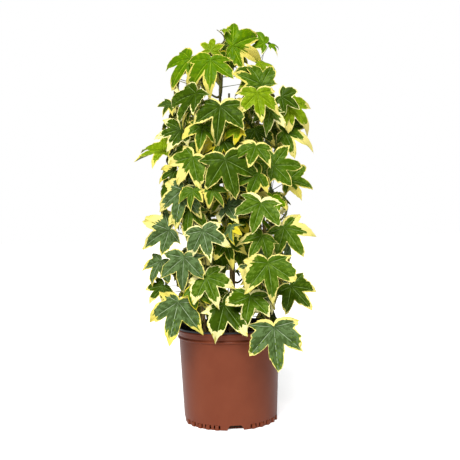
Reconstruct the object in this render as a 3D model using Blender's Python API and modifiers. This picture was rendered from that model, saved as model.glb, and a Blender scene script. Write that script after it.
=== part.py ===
"""A potted tree ivy: a nursery pot, four canes, and shoots of star-shaped, cream-edged leaves.

Metres, +Z up. The origin is the middle of the pot's flat underside, and the front faces -Y.
A bearing is the angle round the pot's axis, 0 at the front and growing towards +X.
"""
import math
import random

import bmesh
import bpy
from mathutils import Vector
from mathutils.bvhtree import BVHTree

# Pot
POT_HEIGHT = 0.235
RIM_RADIUS = 0.130
LIP_HEIGHT = 0.0045
COLLAR_HEIGHT = 0.024
COLLAR_STEP = 0.0007
COLLAR_DRAFT = 0.0012
BODY_STEP = 0.0014
BASE_RADIUS = 0.1165
BASE_ROUND = 0.003
WALL = 0.0022
FLOOR = 0.003
POT_STEPS = 44
CLEAR = 0.0003

# Drainage notches and the ribs between them, round the foot of the pot
NOTCHES = 4
NOTCH_BEARING = 5.5
NOTCH_FOOT = 0.042
NOTCH_HEAD = 0.030
NOTCH_HEIGHT = 0.0125
NOTCH_DEPTH = 0.018
RIBS_BETWEEN = 6
RIB_SPACING = 11.25
RIB_WIDTH = 0.0085
RIB_HEIGHT = 0.011
RIB_PROUD = 0.0012
FOOT_ROUNDS = (0.42, 0.40)
CORNER = 0.0015

# Potting mix
SOIL_LEVEL = 0.209
SOIL_FOOT_RADIUS = 0.100
SOIL_FOOT_HEIGHT = 0.016
SOIL_SHOULDER = 0.026

# Canes: name, foot side and front, head side, front and height, foot and head radius
CANES = (
    ("cane_middle", (0.005, 0.005), (-0.004, 0.000, 0.925), (0.0060, 0.0028)),
    ("cane_left", (-0.060, 0.020), (-0.074, 0.025, 0.800), (0.0052, 0.0026)),
    ("cane_right", (0.100, 0.020), (0.084, 0.025, 0.860), (0.0050, 0.0026)),
    ("cane_back", (0.010, -0.075), (0.015, -0.085, 0.840), (0.0055, 0.0026)),
)
CANE_SIDES = 10
CANE_RINGS = 8
CANE_WANDER = 0.007
CANE_UPRIGHT = 0.012
CANE_TURN = 2.4

# Crown: the outer radius at each height, and the tiers of shoots with the number of sides of each
CROWN = ((0.10, 0.150), (0.20, 0.190), (0.30, 0.222), (0.45, 0.225), (0.60, 0.222), (0.70, 0.215),
         (0.80, 0.185), (0.88, 0.150), (0.93, 0.095), (0.97, 0.050), (1.01, 0.030))
SIDE_SHARE = 0.77
TIERS = (("skirt", 0.300, 6), ("low", 0.390, 6), ("middle", 0.490, 7), ("upper", 0.590, 7),
         ("high", 0.690, 6), ("shoulder", 0.790, 5), ("crest", 0.870, 3))
TIP_HEIGHT = 0.950
HOME_SHARE = 0.46
SHOOT_RISE = 0.055
SHOOT_SIDES = 4
SHOOT_RADII = (0.0032, 0.0028, 0.0024, 0.0020)
SHOOT_START = 0.010
SHOOT_AIM = 0.050
FOOT_MARGIN = 0.030
LEAVES_EACH = 4

# Leaf: each lobe's angle from the midrib and its length over the middle lobe's
LOBES = ((0, 1.0), (48, 0.88), (102, 0.64))
LOBE_HALF = 26
LOBE_FALL = 0.45
LOBE_POINT = 0.8
NOTCH_FALL = 0.84
OUTLINE_TURNS = (0, 13, 25, 48, 62, 80, 102, 135, 165)
DROOP = 0.17
FOLD = 0.10
WAVE = 0.035
CUPS = (-0.25, 0.22)
SKEW = 0.14
DROOPS = (0.5, 1.5)
BLADE_THICK = 0.026
BLADE_LEAST = 0.0022
STALK_SIDES = 3
STALK_RADII = (0.0017, 0.0017, 0.0014, 0.0005)
STALK_SEAT = (0.09, 0.19)
STALK_ARCH = (0.10, 0.35)
STALK_TWISTS = (0.0, 0.3, 0.6, 0.9)
STALK_SHARES = (0.45, 0.97)
STALK_TRIES = 6
ROOM = 0.0035

# Leaves that show in front: side, front and height of the stalk's end and the middle lobe's length,
# all in millimetres; the way that lobe points, from straight down towards +X; the bearing that the
# leaf faces and how far it looks up, in degrees; and how much larger its lobes are on that +X side
FRONT_LEAVES = (
    (26, 40, 932, 92, 72, 5, 8, 0.26), (-79, 60, 898, 84, -40, -14, 20, -0.10),
    (-28, 110, 880, 94, -3, -5, 26, -0.10), (92, 100, 820, 82, -166, 10, 16, 0.18),
    (79, 150, 790, 77, 3, 8, 18, 0.0), (-63, 140, 795, 92, -27, -38, 22, -0.15),
    (-8, 170, 760, 88, -6, 2, 20, 0.12), (-103, 90, 720, 76, -78, -4, 26, 0.0),
    (-48, 140, 718, 72, -8, -5, 34, 0.10), (72, 175, 665, 68, -18, 5, 34, 0.0),
    (-73, 160, 645, 86, -34, -25, 16, 0.0), (2, 185, 635, 96, 12, -4, 12, 0.0),
    (114, 130, 624, 78, 92, 0, 14, 0.12), (77, 172, 602, 72, -76, 10, 20, 0.0),
    (-103, 150, 573, 92, -16, -10, 14, -0.14), (-75, 160, 568, 48, -6, -15, 30, 0.0),
    (-30, 160, 568, 45, 34, 0, 30, 0.0), (80, 185, 535, 80, -16, 6, 22, 0.0),
    (-72, 150, 527, 74, -10, -12, 30, 0.0), (-135, 110, 479, 84, -63, -5, 14, -0.18),
    (-53, 180, 475, 79, 17, -8, 16, 0.0), (-2, 140, 448, 64, 16, 5, 24, 0.0),
    (81, 165, 460, 66, -35, 8, 30, 0.05), (137, 120, 478, 88, 30, 2, 18, 0.12),
    (-98, 165, 415, 82, -3, -6, 14, 0.0), (-160, 90, 404, 64, -30, -15, 26, 0.0),
    (95, 180, 399, 94, 5, 6, 14, 0.0), (-48, 160, 368, 80, 25, -4, 24, 0.0),
    (152, 95, 337, 76, 34, 2, 18, 0.05), (52, 150, 322, 84, -11, 4, 30, 0.0),
    (-115, 150, 312, 101, -14, -10, 16, 0.0), (-9, 150, 303, 96, 31, 2, 18, 0.0),
    (103, 180, 253, 102, 3, 4, 10, 0.0), (140, 92, 792, 54, 60, 10, 12, 0.05),
    (156, 66, 780, 86, 52, 15, 18, 0.12), (148, 50, 714, 86, 72, 4, 30, 0.18),
    (154, 60, 594, 76, 84, 8, 24, 0.15), (-152, 40, 676, 82, -66, -12, 58, -0.30),
    (106, 5, 946, 50, -115, 15, 20, 0.0), (100, 30, 896, 46, 80, 10, 45, 0.0),
    (120, 0, 948, 30, 100, 10, 45, 0.0), (-28, 66, 914, 46, 172, -5, 15, 0.0),
    (-130, 60, 787, 38, -35, -10, 30, 0.0), (-122, 70, 622, 50, -62, -10, 30, 0.0),
    (-157, 80, 343, 56, -40, -10, 24, 0.0), (110, 110, 757, 62, -8, 5, 24, 0.0),
)
FRONT_TRIES = 60
FRONT_SHOOTS = 3
FRONT_SLACK = 0.0004
FRONT_LOOSE = 500

# Openings that the crown has from the front: their side, height and half widths, in the axis plane,
# seen from this far off and at this height
OPENINGS = (
    (-0.126, 0.444, 0.021, 0.021), (0.009, 0.835, 0.022, 0.015), (-0.043, 0.820, 0.010, 0.022),
    (0.016, 0.341, 0.021, 0.015), (-0.138, 0.318, 0.012, 0.014), (0.131, 0.590, 0.011, 0.009),
    (0.148, 0.272, 0.026, 0.014), (-0.172, 0.512, 0.022, 0.028),
)
VIEW_DISTANCE = 1.65
VIEW_HEIGHT = 0.475

# Leaves that the rule adds
FILL_LENGTHS = (0.058, 0.100)
FILL_REACH = (0.60, 0.80)
FILL_REACH_FRONT = (0.36, 0.66)
FRONT_SECTOR = 75
FILL_TILTS = (4, 50)
FILL_SWING = 34
FILL_TURN = 26
FILL_SPREAD = 0.055
FILL_TRIES = 60
POT_MARGIN = 0.008
FRONT_HANG = 0.262
SEED = 41

# Colours
POT_COLOUR = (0.305, 0.088, 0.040, 1)
SOIL_COLOUR = (0.060, 0.038, 0.024, 1)
CANE_COLOUR = (0.300, 0.220, 0.060, 1)
LEAF_COLOUR = (0.100, 0.180, 0.030, 1)


def material(name, colour, roughness):
    """A plain finish with its colour and roughness."""
    finish = bpy.data.materials.new(name)
    finish.use_nodes = True
    shader = finish.node_tree.nodes["Principled BSDF"]
    shader.inputs["Base Color"].default_value = colour
    shader.inputs["Roughness"].default_value = roughness
    finish.diffuse_color = colour
    return finish


def between(low, high, share):
    """The value or point that lies a share of the way from low to high."""
    return low + (high - low) * share


def heading(bearing, rise=0.0):
    """The unit vector at a bearing and an angle of rise, both in degrees."""
    turn, lift = math.radians(bearing), math.radians(rise)
    return Vector((math.sin(turn) * math.cos(lift), -math.cos(turn) * math.cos(lift), math.sin(lift)))


def bearing_of(point):
    """A point's bearing round the axis, in degrees."""
    return math.degrees(math.atan2(point.x, -point.y))


def crown_radius(height):
    """The crown's outer radius at a height."""
    if height <= CROWN[0][0]:
        return CROWN[0][1]
    for (low, low_radius), (high, high_radius) in zip(CROWN, CROWN[1:]):
        if height <= high:
            return between(low_radius, high_radius, (height - low) / (high - low))
    return 0.0


def bend(start, control, end, count):
    """Points along a smooth bend from start to end, drawn towards a control point."""
    points = []
    for step in range(count):
        share = step / (count - 1)
        points.append(between(between(start, control, share), between(control, end, share), share))
    return points


def limb(path, radii, sides, twist=0.0):
    """One limb round a bent path, with a radius at each of its points, closed at its ends."""
    corners, faces = [], []
    last = len(path) - 1
    across = (path[1] - path[0]).orthogonal()
    for i, here in enumerate(path):
        before, after = path[max(i - 1, 0)], path[min(i + 1, last)]
        ahead = ((here - before).normalized() + (after - here).normalized()).normalized()
        across = (across - ahead * across.dot(ahead)).normalized()
        beside = ahead.cross(across)
        for k in range(sides):
            turn = math.tau * k / sides + twist
            corners.append(here + (across * math.cos(turn) + beside * math.sin(turn)) * radii[i])
    for i in range(last):
        low, high = i * sides, (i + 1) * sides
        for k in range(sides):
            after = (k + 1) % sides
            faces.append((low + k, low + after, high + after, high + k))
    faces.append(tuple(reversed(range(sides))))
    faces.append(tuple(last * sides + k for k in range(sides)))
    return corners, faces


def lobe_reach(turn, skew):
    """How far the blade reaches at an angle from its midrib, over the middle lobe's length."""
    side = skew if turn > 0 else -skew
    turn = abs(turn)
    last_angle = LOBES[-1][0]
    lobes = [(angle, size * (1 + side * angle / last_angle)) for angle, size in LOBES]
    if turn > last_angle:
        return lobes[-1][1] * (1 - NOTCH_FALL * (turn - last_angle) / (180 - last_angle))
    return max(size * (1 - LOBE_FALL * (abs(turn - angle) / LOBE_HALF) ** LOBE_POINT) for angle, size in lobes)


def blade_height(turn, reach, leaf):
    """How far the blade stands above its plane: its halves tip, lobes droop, the web between is raised."""
    off_lobe = min(abs(abs(turn) - angle) for angle, _ in LOBES)
    fold = FOLD * reach * min(off_lobe / LOBE_HALF, 1.0)
    cup = leaf["cup"] * reach * abs(math.sin(math.radians(turn)))
    wave = WAVE * reach * math.sin(math.radians(3 * turn) + leaf["phase"])
    return fold + cup + wave - DROOP * leaf["droop"] * reach * reach


def blade(leaf, room=0.0):
    """A star-shaped leaf: a fan above and a fan below that meet along the lobed outline."""
    middle, face = leaf["midrib"], leaf["face"]
    across = face.cross(middle)
    half = max(leaf["length"] * BLADE_THICK, BLADE_LEAST) / 2 + room
    corners = [leaf["base"] + face * half, leaf["base"] - face * half]
    turns = list(OUTLINE_TURNS) + [-turn for turn in reversed(OUTLINE_TURNS[1:])]
    for turn in turns:
        reach = lobe_reach(turn, leaf["skew"])
        angle = math.radians(turn)
        flat = (middle * math.cos(angle) + across * math.sin(angle)) * reach
        corners.append(leaf["base"] + (flat + face * blade_height(turn, reach, leaf)) * leaf["length"])
    count = len(turns)
    faces = []
    for k in range(count):
        this, after = 2 + k, 2 + (k + 1) % count
        faces.append((0, this, after))
        faces.append((1, after, this))
    return corners, faces


def stalk_path(start, leaf, arch):
    """A leaf's stalk: it arches over from its shoot to the leaf's back and ends inside its midrib."""
    tip = leaf["base"] + (leaf["midrib"] + leaf["face"] * blade_height(0, 1, leaf)) * leaf["length"]
    seat, inside = (between(leaf["base"], tip, share) for share in STALK_SEAT)
    seat -= leaf["face"] * STALK_RADII[-2]
    control = seat - (leaf["midrib"] + leaf["face"]) * arch
    path = bend(start, control, seat, len(STALK_RADII) - 1)
    path.append(inside - leaf["face"] * STALK_RADII[-1] / 2)
    return path


def set_leaf(base, length, bearing, tilt, swing, chance):
    """A leaf's place: its face looks out along a bearing and up by tilt, its lobe hangs by swing."""
    face = heading(bearing, tilt)
    down = heading(bearing, tilt - 90)
    across = face.cross(down)
    turn = math.radians(swing)
    return {
        "base": base,
        "length": length,
        "face": face,
        "midrib": (down * math.cos(turn) + across * math.sin(turn)).normalized(),
        "droop": chance.uniform(*DROOPS),
        "cup": chance.uniform(*CUPS),
        "skew": chance.uniform(-SKEW, SKEW),
        "phase": chance.uniform(0, math.tau),
    }


def tree_of(shape):
    """A shape's corners and search tree, for telling whether others touch it."""
    corners, faces = shape
    low = [min(corner[axis] for corner in corners) for axis in range(3)]
    high = [max(corner[axis] for corner in corners) for axis in range(3)]
    return low, high, BVHTree.FromPolygons(corners, faces)


def touches(shape, taken):
    """Whether a shape's surface meets any of the shapes that have their place already."""
    low, high, tree = tree_of(shape)
    for other_low, other_high, other in taken:
        apart = any(low[axis] > other_high[axis] or high[axis] < other_low[axis] for axis in range(3))
        if not apart and tree.overlap(other):
            return True
    return False


def in_opening(point):
    """Whether a point shows in one of the crown's openings, or past its sides, from the front."""
    share = VIEW_DISTANCE / (VIEW_DISTANCE + point.y)
    side = point.x * share
    height = VIEW_HEIGHT + (point.z - VIEW_HEIGHT) * share
    if abs(side) > crown_radius(height) * SIDE_SHARE:
        return True
    return any(abs(side - middle) < half_width and abs(height - level) < half_height
               for middle, level, half_width, half_height in OPENINGS)


def inside_crown(leaf):
    """Whether a leaf stays within the crown's outline and outside its openings and the pot."""
    for corner in blade(leaf)[0]:
        radius = math.hypot(corner.x, corner.y)
        if radius > crown_radius(corner.z):
            return False
        if corner.z < POT_HEIGHT + POT_MARGIN and radius < RIM_RADIUS + POT_MARGIN:
            return False
        if corner.z < FRONT_HANG and abs(bearing_of(corner)) < FRONT_SECTOR:
            return False
        if in_opening(corner) or in_opening(between(leaf["base"], corner, 0.5)):
            return False
    return True


def cane_path(cane):
    """The points up a cane, which wanders a little on its way from foot to head."""
    name, (foot_side, foot_front), (head_side, head_front, head_height), radii = cane
    foot = Vector((foot_side, -foot_front, SOIL_LEVEL + CLEAR))
    head = Vector((head_side, -head_front, head_height))
    turn = CANES.index(cane) * CANE_TURN
    path = [foot, foot + Vector((0, 0, CANE_UPRIGHT))]
    for ring in range(1, CANE_RINGS):
        share = ring / (CANE_RINGS - 1)
        sway = CANE_WANDER * math.sin(math.tau * share)
        path.append(between(path[1], head, share) + Vector((math.cos(turn), math.sin(turn), 0)) * sway)
    return path


def at_height(path, height):
    """The point on a rising path at a height."""
    for low, high in zip(path, path[1:]):
        if height <= high.z:
            return between(low, high, (height - low.z) / (high.z - low.z))
    return path[-1]


def shoot_homes():
    """Each shoot's name and home: tiers of sides, each tier turned by half a side, and the tip."""
    homes = []
    for tier, (name, height, sides) in enumerate(TIERS):
        for side in range(sides):
            bearing = 360 * (side + 0.5 * (tier % 2)) / sides
            home = heading(bearing) * crown_radius(height) * HOME_SHARE
            home.z = height
            homes.append({"name": f"foliage_{name}_{side + 1}", "home": home, "bearing": bearing,
                          "spread": 180 / sides})
    tip = at_height(cane_path(CANES[0]), TIP_HEIGHT) + Vector((0.006, -0.004, 0))
    tip.z = TIP_HEIGHT
    homes.append({"name": "foliage_tip", "home": tip, "bearing": 0.0, "spread": 180})
    return homes


def grow_shoot(shoot, canes):
    """A shoot's stem, from just clear of the nearest cane to the shoot's home."""
    home = shoot["home"]
    at_tip = shoot["name"] == "foliage_tip"
    node = home.z - SHOOT_RISE
    node = max(node, SOIL_LEVEL + FOOT_MARGIN)
    if at_tip:
        cane = canes[0]
        aim, source = cane["path"][-1], home
    else:
        tall = [cane for cane in canes if cane["path"][-1].z > node + FOOT_MARGIN / 2]
        cane = min(tall, key=lambda each: (at_height(each["path"], node) - home).xy.length)
        aim = at_height(cane["path"], node)
        away = Vector((home.x - aim.x, home.y - aim.y, 0)).normalized()
        source = aim + away * SHOOT_AIM
    hit, normal, _, _ = cane["tree"].ray_cast(source, aim - source)
    start = hit + normal * CLEAR
    path = [start]
    path += bend(start + normal * SHOOT_START, start + normal * SHOOT_START * 2.5, home, 3)
    shoot["stem"] = path
    shoot["tree"] = tree_of(limb(path, SHOOT_RADII, SHOOT_SIDES))
    shoot["leaves"] = []


def add_leaf(shoot, leaf, taken, chance):
    """Give a shoot a leaf if its blade and a stalk to it find room; say whether they did."""
    if touches(blade(leaf, ROOM), taken):
        return False
    stem = shoot["stem"]
    for _ in range(STALK_TRIES):
        share = chance.uniform(*STALK_SHARES)
        place = 1 + share * (len(stem) - 2)
        start = between(stem[int(place)], stem[int(place) + 1], place - int(place))
        reach = (leaf["base"] - start).length
        path = stalk_path(start, leaf, reach * chance.uniform(*STALK_ARCH))
        twig = limb(path, STALK_RADII, STALK_SIDES)
        beyond = limb(path[1:], STALK_RADII[1:], STALK_SIDES)
        others = [each for each in taken if each is not shoot["tree"]]
        if not touches(twig, others) and not touches(beyond, [shoot["tree"]]):
            taken.append(tree_of(blade(leaf)))
            taken.append(tree_of(twig))
            leaf["stalk"] = path
            shoot["leaves"].append(leaf)
            return True
    return False


def nearest_shoots(shoots, point):
    """The shoots in the order of their homes' distance from a point."""
    return sorted(shoots, key=lambda shoot: (shoot["home"] - point).length)


def grow_front_leaf(row, shoots, taken, chance):
    """A leaf that shows in front: it takes its own place, or one close by that is free."""
    side, front, height, length, swing, facing, tilt, skew = row
    for attempt in range(FRONT_TRIES):
        slack = FRONT_SLACK * attempt
        base = Vector((side / 1000, -front / 1000, height / 1000))
        base += Vector([chance.uniform(-slack, slack) for _ in range(3)])
        turn = facing + chance.uniform(-slack, slack) * FRONT_LOOSE
        rise = tilt + chance.uniform(-slack, slack) * FRONT_LOOSE
        leaf = set_leaf(base, length / 1000, turn, rise, swing, chance)
        leaf["skew"] = skew
        for shoot in nearest_shoots(shoots, base)[:FRONT_SHOOTS]:
            if add_leaf(shoot, leaf, taken, chance):
                return leaf
    return None


def grow_fill_leaf(shoot, taken, chance):
    """A leaf by rule, in the shoot's own space between its neighbours."""
    for _ in range(FILL_TRIES):
        bearing = shoot["bearing"] + chance.uniform(-1, 1) * shoot["spread"]
        height = shoot["home"].z + chance.uniform(-FILL_SPREAD, FILL_SPREAD)
        in_front = abs((bearing + 180) % 360 - 180) < FRONT_SECTOR
        reach = crown_radius(height) * chance.uniform(*(FILL_REACH_FRONT if in_front else FILL_REACH))
        base = heading(bearing) * reach + Vector((0, 0, height))
        facing = bearing + chance.gauss(0, FILL_TURN)
        length = chance.uniform(*FILL_LENGTHS)
        leaf = set_leaf(base, length, facing, chance.uniform(*FILL_TILTS), chance.gauss(0, FILL_SWING), chance)
        if inside_crown(leaf) and add_leaf(shoot, leaf, taken, chance):
            return True
    return False


def grow_plant(taken):
    """All canes and shoots: stems first, then the leaves in front, then the rest, turn by turn."""
    chance = random.Random(SEED)
    canes = []
    for cane in CANES:
        path = cane_path(cane)
        radii = [between(cane[3][0], cane[3][1], ring / CANE_RINGS) for ring in range(CANE_RINGS + 1)]
        shape = limb(path, radii, CANE_SIDES)
        entry = tree_of(shape)
        taken.append(entry)
        canes.append({"name": cane[0], "path": path, "shape": shape, "tree": entry[2]})
    shoots = shoot_homes()
    for shoot in shoots:
        grow_shoot(shoot, canes)
        taken.append(shoot["tree"])
    for row in FRONT_LEAVES:
        grow_front_leaf(row, shoots, taken, chance)
    for _ in range(LEAVES_EACH):
        for shoot in shoots:
            if len(shoot["leaves"]) < LEAVES_EACH:
                grow_fill_leaf(shoot, taken, chance)
    return canes, shoots


def new_object(name, shape, collection, finish):
    """An object from corners and faces."""
    mesh = bpy.data.meshes.new(name)
    mesh.from_pydata([tuple(corner) for corner in shape[0]], [], shape[1])
    mesh.materials.append(finish)
    thing = bpy.data.objects.new(name, mesh)
    collection.objects.link(thing)
    return thing


def settle(thing):
    """Make an object's modifiers part of its mesh."""
    shown = thing.evaluated_get(bpy.context.evaluated_depsgraph_get())
    mesh = bpy.data.meshes.new_from_object(shown)
    thing.modifiers.clear()
    thing.data = mesh


def largest_body(mesh, method):
    """A mesh's largest connected body in triangles, or None where it isn't closed or touches itself."""
    shape = bmesh.new()
    shape.from_mesh(mesh)
    bmesh.ops.triangulate(shape, faces=shape.faces, quad_method="FIXED", ngon_method=method)
    left = set(shape.verts)
    bodies = []
    while left:
        body, reached = set(), [next(iter(left))]
        while reached:
            corner = reached.pop()
            if corner not in body:
                body.add(corner)
                reached += [edge.other_vert(corner) for edge in corner.link_edges]
        bodies.append(body)
        left -= body
    largest = max(bodies, key=len)
    scraps = [corner for body in bodies if body is not largest for corner in body]
    bmesh.ops.delete(shape, geom=scraps, context="VERTS")
    sound = all(edge.is_manifold for edge in shape.edges) and all(corner.is_manifold for corner in shape.verts)
    found = None
    if sound:
        found = bpy.data.meshes.new(mesh.name)
        for finish in mesh.materials:
            found.materials.append(finish)
        shape.to_mesh(found)
    shape.free()
    return found


def fuse(thing, tools, operation):
    """Join or cut an object with all that a collection holds; say whether a sound body came out."""
    before = thing.data
    found = None
    for solver in ("EXACT", "MANIFOLD"):
        thing.data = before
        action = thing.modifiers.new("fuse", "BOOLEAN")
        action.operation = operation
        action.operand_type = "COLLECTION"
        action.collection = tools
        action.solver = solver
        settle(thing)
        found = largest_body(thing.data, "EAR_CLIP") or largest_body(thing.data, "BEAUTY")
        if found:
            break
    thing.data = found or before
    for tool in list(tools.objects):
        bpy.data.objects.remove(tool)
    return found is not None


def fuse_shoot(shoot, collection, tools, finish):
    """One solid from a shoot's stem, stalks and leaves, with the last leaf left off until all join."""
    thing = new_object(shoot["name"], limb(shoot["stem"], SHOOT_RADII, SHOOT_SIDES), collection, finish)
    for count in range(len(shoot["leaves"]), 0, -1):
        for twist in STALK_TWISTS:
            for k, leaf in enumerate(shoot["leaves"][:count]):
                twig = limb(leaf["stalk"], STALK_RADII, STALK_SIDES, twist)
                new_object(f"{shoot['name']}_stalk_{k}", twig, tools, finish)
                new_object(f"{shoot['name']}_blade_{k}", blade(leaf), tools, finish)
            if fuse(thing, tools, "UNION"):
                return


def turned(name, profile, collection, finish):
    """A turned shape from a profile that runs down its outer side."""
    edges = [(k, k + 1) for k in range(len(profile) - 1)]
    mesh = bpy.data.meshes.new(name)
    mesh.from_pydata([(radius, 0, height) for radius, height in profile], edges, [])
    mesh.materials.append(finish)
    thing = bpy.data.objects.new(name, mesh)
    collection.objects.link(thing)
    screw = thing.modifiers.new("turn", "SCREW")
    screw.steps = POT_STEPS
    screw.render_steps = POT_STEPS
    screw.use_merge_vertices = True
    screw.merge_threshold = 0.00001
    settle(thing)
    return thing


def body_radius(height):
    """The pot's outer radius at a height under its collar."""
    top = RIM_RADIUS - COLLAR_STEP - COLLAR_DRAFT - BODY_STEP
    return between(BASE_RADIUS, top, height / (POT_HEIGHT - COLLAR_HEIGHT))


def foot_tool(name, bearing, foot, head, height, inner, outer, lift, tools):
    """A block on the pot's foot whose face narrows from foot to head, with round upper corners."""
    mesh = bpy.data.meshes.new(name)
    shape = bmesh.new()
    bmesh.ops.create_cube(shape, size=1)
    for corner in shape.verts:
        width = foot if corner.co.z < 0 else head
        corner.co = Vector((corner.co.x * width, inner if corner.co.y > 0 else outer, corner.co.z + 0.5))
        corner.co.y = -corner.co.y
        corner.co.z = lift + corner.co.z * height
    upper = [edge for edge in shape.edges
             if all(corner.co.z > lift + height / 2 for corner in edge.verts)
             and abs(edge.verts[0].co.x - edge.verts[1].co.x) < head / 2]
    offset = min(head * FOOT_ROUNDS[0], height * FOOT_ROUNDS[1])
    bmesh.ops.bevel(shape, geom=upper, offset=offset, segments=2, profile=0.5, affect="EDGES")
    bmesh.ops.recalc_face_normals(shape, faces=shape.faces)
    shape.to_mesh(mesh)
    shape.free()
    tool = bpy.data.objects.new(name, mesh)
    tool.rotation_euler.z = math.radians(bearing)
    tools.objects.link(tool)


def make_pot(collection, tools, finish):
    """The nursery pot: a thin turned wall with a lip and a collar, foot ribs and drainage notches."""
    lip_foot = POT_HEIGHT - LIP_HEIGHT
    collar_foot = lip_foot - COLLAR_HEIGHT
    collar_top_radius = RIM_RADIUS - COLLAR_STEP
    collar_foot_radius = collar_top_radius - COLLAR_DRAFT
    profile = [
        (0, FLOOR),
        (body_radius(FLOOR) - WALL, FLOOR),
        (body_radius(collar_foot) - WALL, collar_foot),
        (RIM_RADIUS - WALL, POT_HEIGHT),
        (RIM_RADIUS, POT_HEIGHT),
        (RIM_RADIUS, lip_foot),
        (collar_top_radius, lip_foot),
        (collar_top_radius, lip_foot - CORNER),
        (collar_foot_radius, collar_foot + CORNER),
        (collar_foot_radius + CORNER / 4, collar_foot),
        (body_radius(collar_foot), collar_foot - CORNER / 3),
        (body_radius(BASE_ROUND), BASE_ROUND),
        (BASE_RADIUS - BASE_ROUND / 3, 0),
        (0, 0),
    ]
    pot = turned("pot", profile, collection, finish)
    quarter = 360 / NOTCHES
    outer = BASE_RADIUS + RIB_PROUD
    for notch in range(NOTCHES):
        middle = NOTCH_BEARING + notch * quarter
        for rib in range(RIBS_BETWEEN):
            bearing = middle + quarter / 2 + (rib - (RIBS_BETWEEN - 1) / 2) * RIB_SPACING
            foot_tool(f"rib_{notch}_{rib}", bearing, RIB_WIDTH, RIB_WIDTH * 0.9, RIB_HEIGHT,
                      BASE_RADIUS - WALL / 2, outer, BASE_ROUND / 2, tools)
    fuse(pot, tools, "UNION")
    for notch in range(NOTCHES):
        foot_tool(f"notch_{notch}", NOTCH_BEARING + notch * quarter, NOTCH_FOOT, NOTCH_HEAD, NOTCH_HEIGHT + 0.01,
                  BASE_RADIUS - NOTCH_DEPTH, BASE_RADIUS + 0.01, -0.01, tools)
    fuse(pot, tools, "DIFFERENCE")
    pot.data.shade_smooth()
    pot.data.set_sharp_from_angle(angle=math.radians(30))


def make_soil(collection, finish):
    """The potting mix: it fills the pot to its level and stands back from the drainage notches."""
    gap = WALL + CLEAR * 1.5
    profile = [
        (0, SOIL_LEVEL),
        (body_radius(SOIL_LEVEL) - gap, SOIL_LEVEL),
        (body_radius(SOIL_SHOULDER) - gap, SOIL_SHOULDER),
        (SOIL_FOOT_RADIUS, SOIL_FOOT_HEIGHT),
        (SOIL_FOOT_RADIUS, FLOOR + CLEAR),
        (0, FLOOR + CLEAR),
    ]
    soil = turned("soil", profile, collection, finish)
    soil.data.shade_smooth()
    soil.data.set_sharp_from_angle(angle=math.radians(30))
    return soil


def main():
    for thing in list(bpy.data.objects):
        bpy.data.objects.remove(thing)
    parts = bpy.data.collections.new("potted_tree_ivy")
    tools = bpy.data.collections.new("tools")
    for collection in (parts, tools):
        bpy.context.scene.collection.children.link(collection)
    leaf_finish = material("variegated_leaf", LEAF_COLOUR, 0.45)
    cane_finish = material("young_bark", CANE_COLOUR, 0.7)
    make_pot(parts, tools, material("moulded_polypropylene", POT_COLOUR, 0.5))
    make_soil(parts, material("potting_mix", SOIL_COLOUR, 0.95))

    canes, shoots = grow_plant([])
    for cane in canes:
        thing = new_object(cane["name"], cane["shape"], parts, cane_finish)
        thing.data.shade_smooth()
        thing.data.set_sharp_from_angle(angle=math.radians(50))
    for shoot in shoots:
        fuse_shoot(shoot, parts, tools, leaf_finish)
    bpy.data.collections.remove(tools)


main()
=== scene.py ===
import math
import random

import bpy
import numpy as np
from mathutils import Matrix, Vector, noise
from mathutils.bvhtree import BVHTree


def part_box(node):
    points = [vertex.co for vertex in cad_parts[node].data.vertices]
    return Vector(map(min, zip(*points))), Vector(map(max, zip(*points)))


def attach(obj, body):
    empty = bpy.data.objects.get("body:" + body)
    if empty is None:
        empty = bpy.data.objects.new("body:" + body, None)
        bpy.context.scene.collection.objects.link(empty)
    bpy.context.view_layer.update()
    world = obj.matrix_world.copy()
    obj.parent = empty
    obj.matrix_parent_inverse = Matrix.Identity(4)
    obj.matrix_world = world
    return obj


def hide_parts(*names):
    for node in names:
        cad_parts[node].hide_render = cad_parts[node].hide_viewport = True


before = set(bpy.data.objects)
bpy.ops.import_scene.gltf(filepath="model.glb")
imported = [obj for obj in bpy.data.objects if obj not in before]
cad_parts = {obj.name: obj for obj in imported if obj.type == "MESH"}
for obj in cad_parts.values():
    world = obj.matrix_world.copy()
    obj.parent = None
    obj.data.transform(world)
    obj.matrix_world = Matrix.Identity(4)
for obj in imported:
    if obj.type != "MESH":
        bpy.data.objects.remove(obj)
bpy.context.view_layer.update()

# Pot and potting mix, with the heights read from the frame
POT_HEIGHT = round(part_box("pot")[1].z, 4)
SOIL_LEVEL = round(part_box("soil")[1].z, 4)
RIM_RADIUS = 0.130
LIP_HEIGHT = 0.0045
COLLAR_HEIGHT = 0.024
COLLAR_STEP = 0.0007
COLLAR_DRAFT = 0.0012
BODY_STEP = 0.0014
BASE_RADIUS = 0.1165
BASE_ROUND = 0.003
WALL = 0.0022
LINING = 0.0007
FLOOR = 0.003
BEAD = 0.0008
POT_STEPS = 160
CLEAR = 0.0003
NOTCHES = 4
NOTCH_BEARING = 5.5
NOTCH_FOOT = 0.042
NOTCH_HEAD = 0.030
NOTCH_HEIGHT = 0.0125
NOTCH_DEPTH = 0.018
RIBS_BETWEEN = 5
RIB_SPACING = 11.5
RIB_WIDTH = 0.0085
RIB_HEIGHT = 0.011

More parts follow.
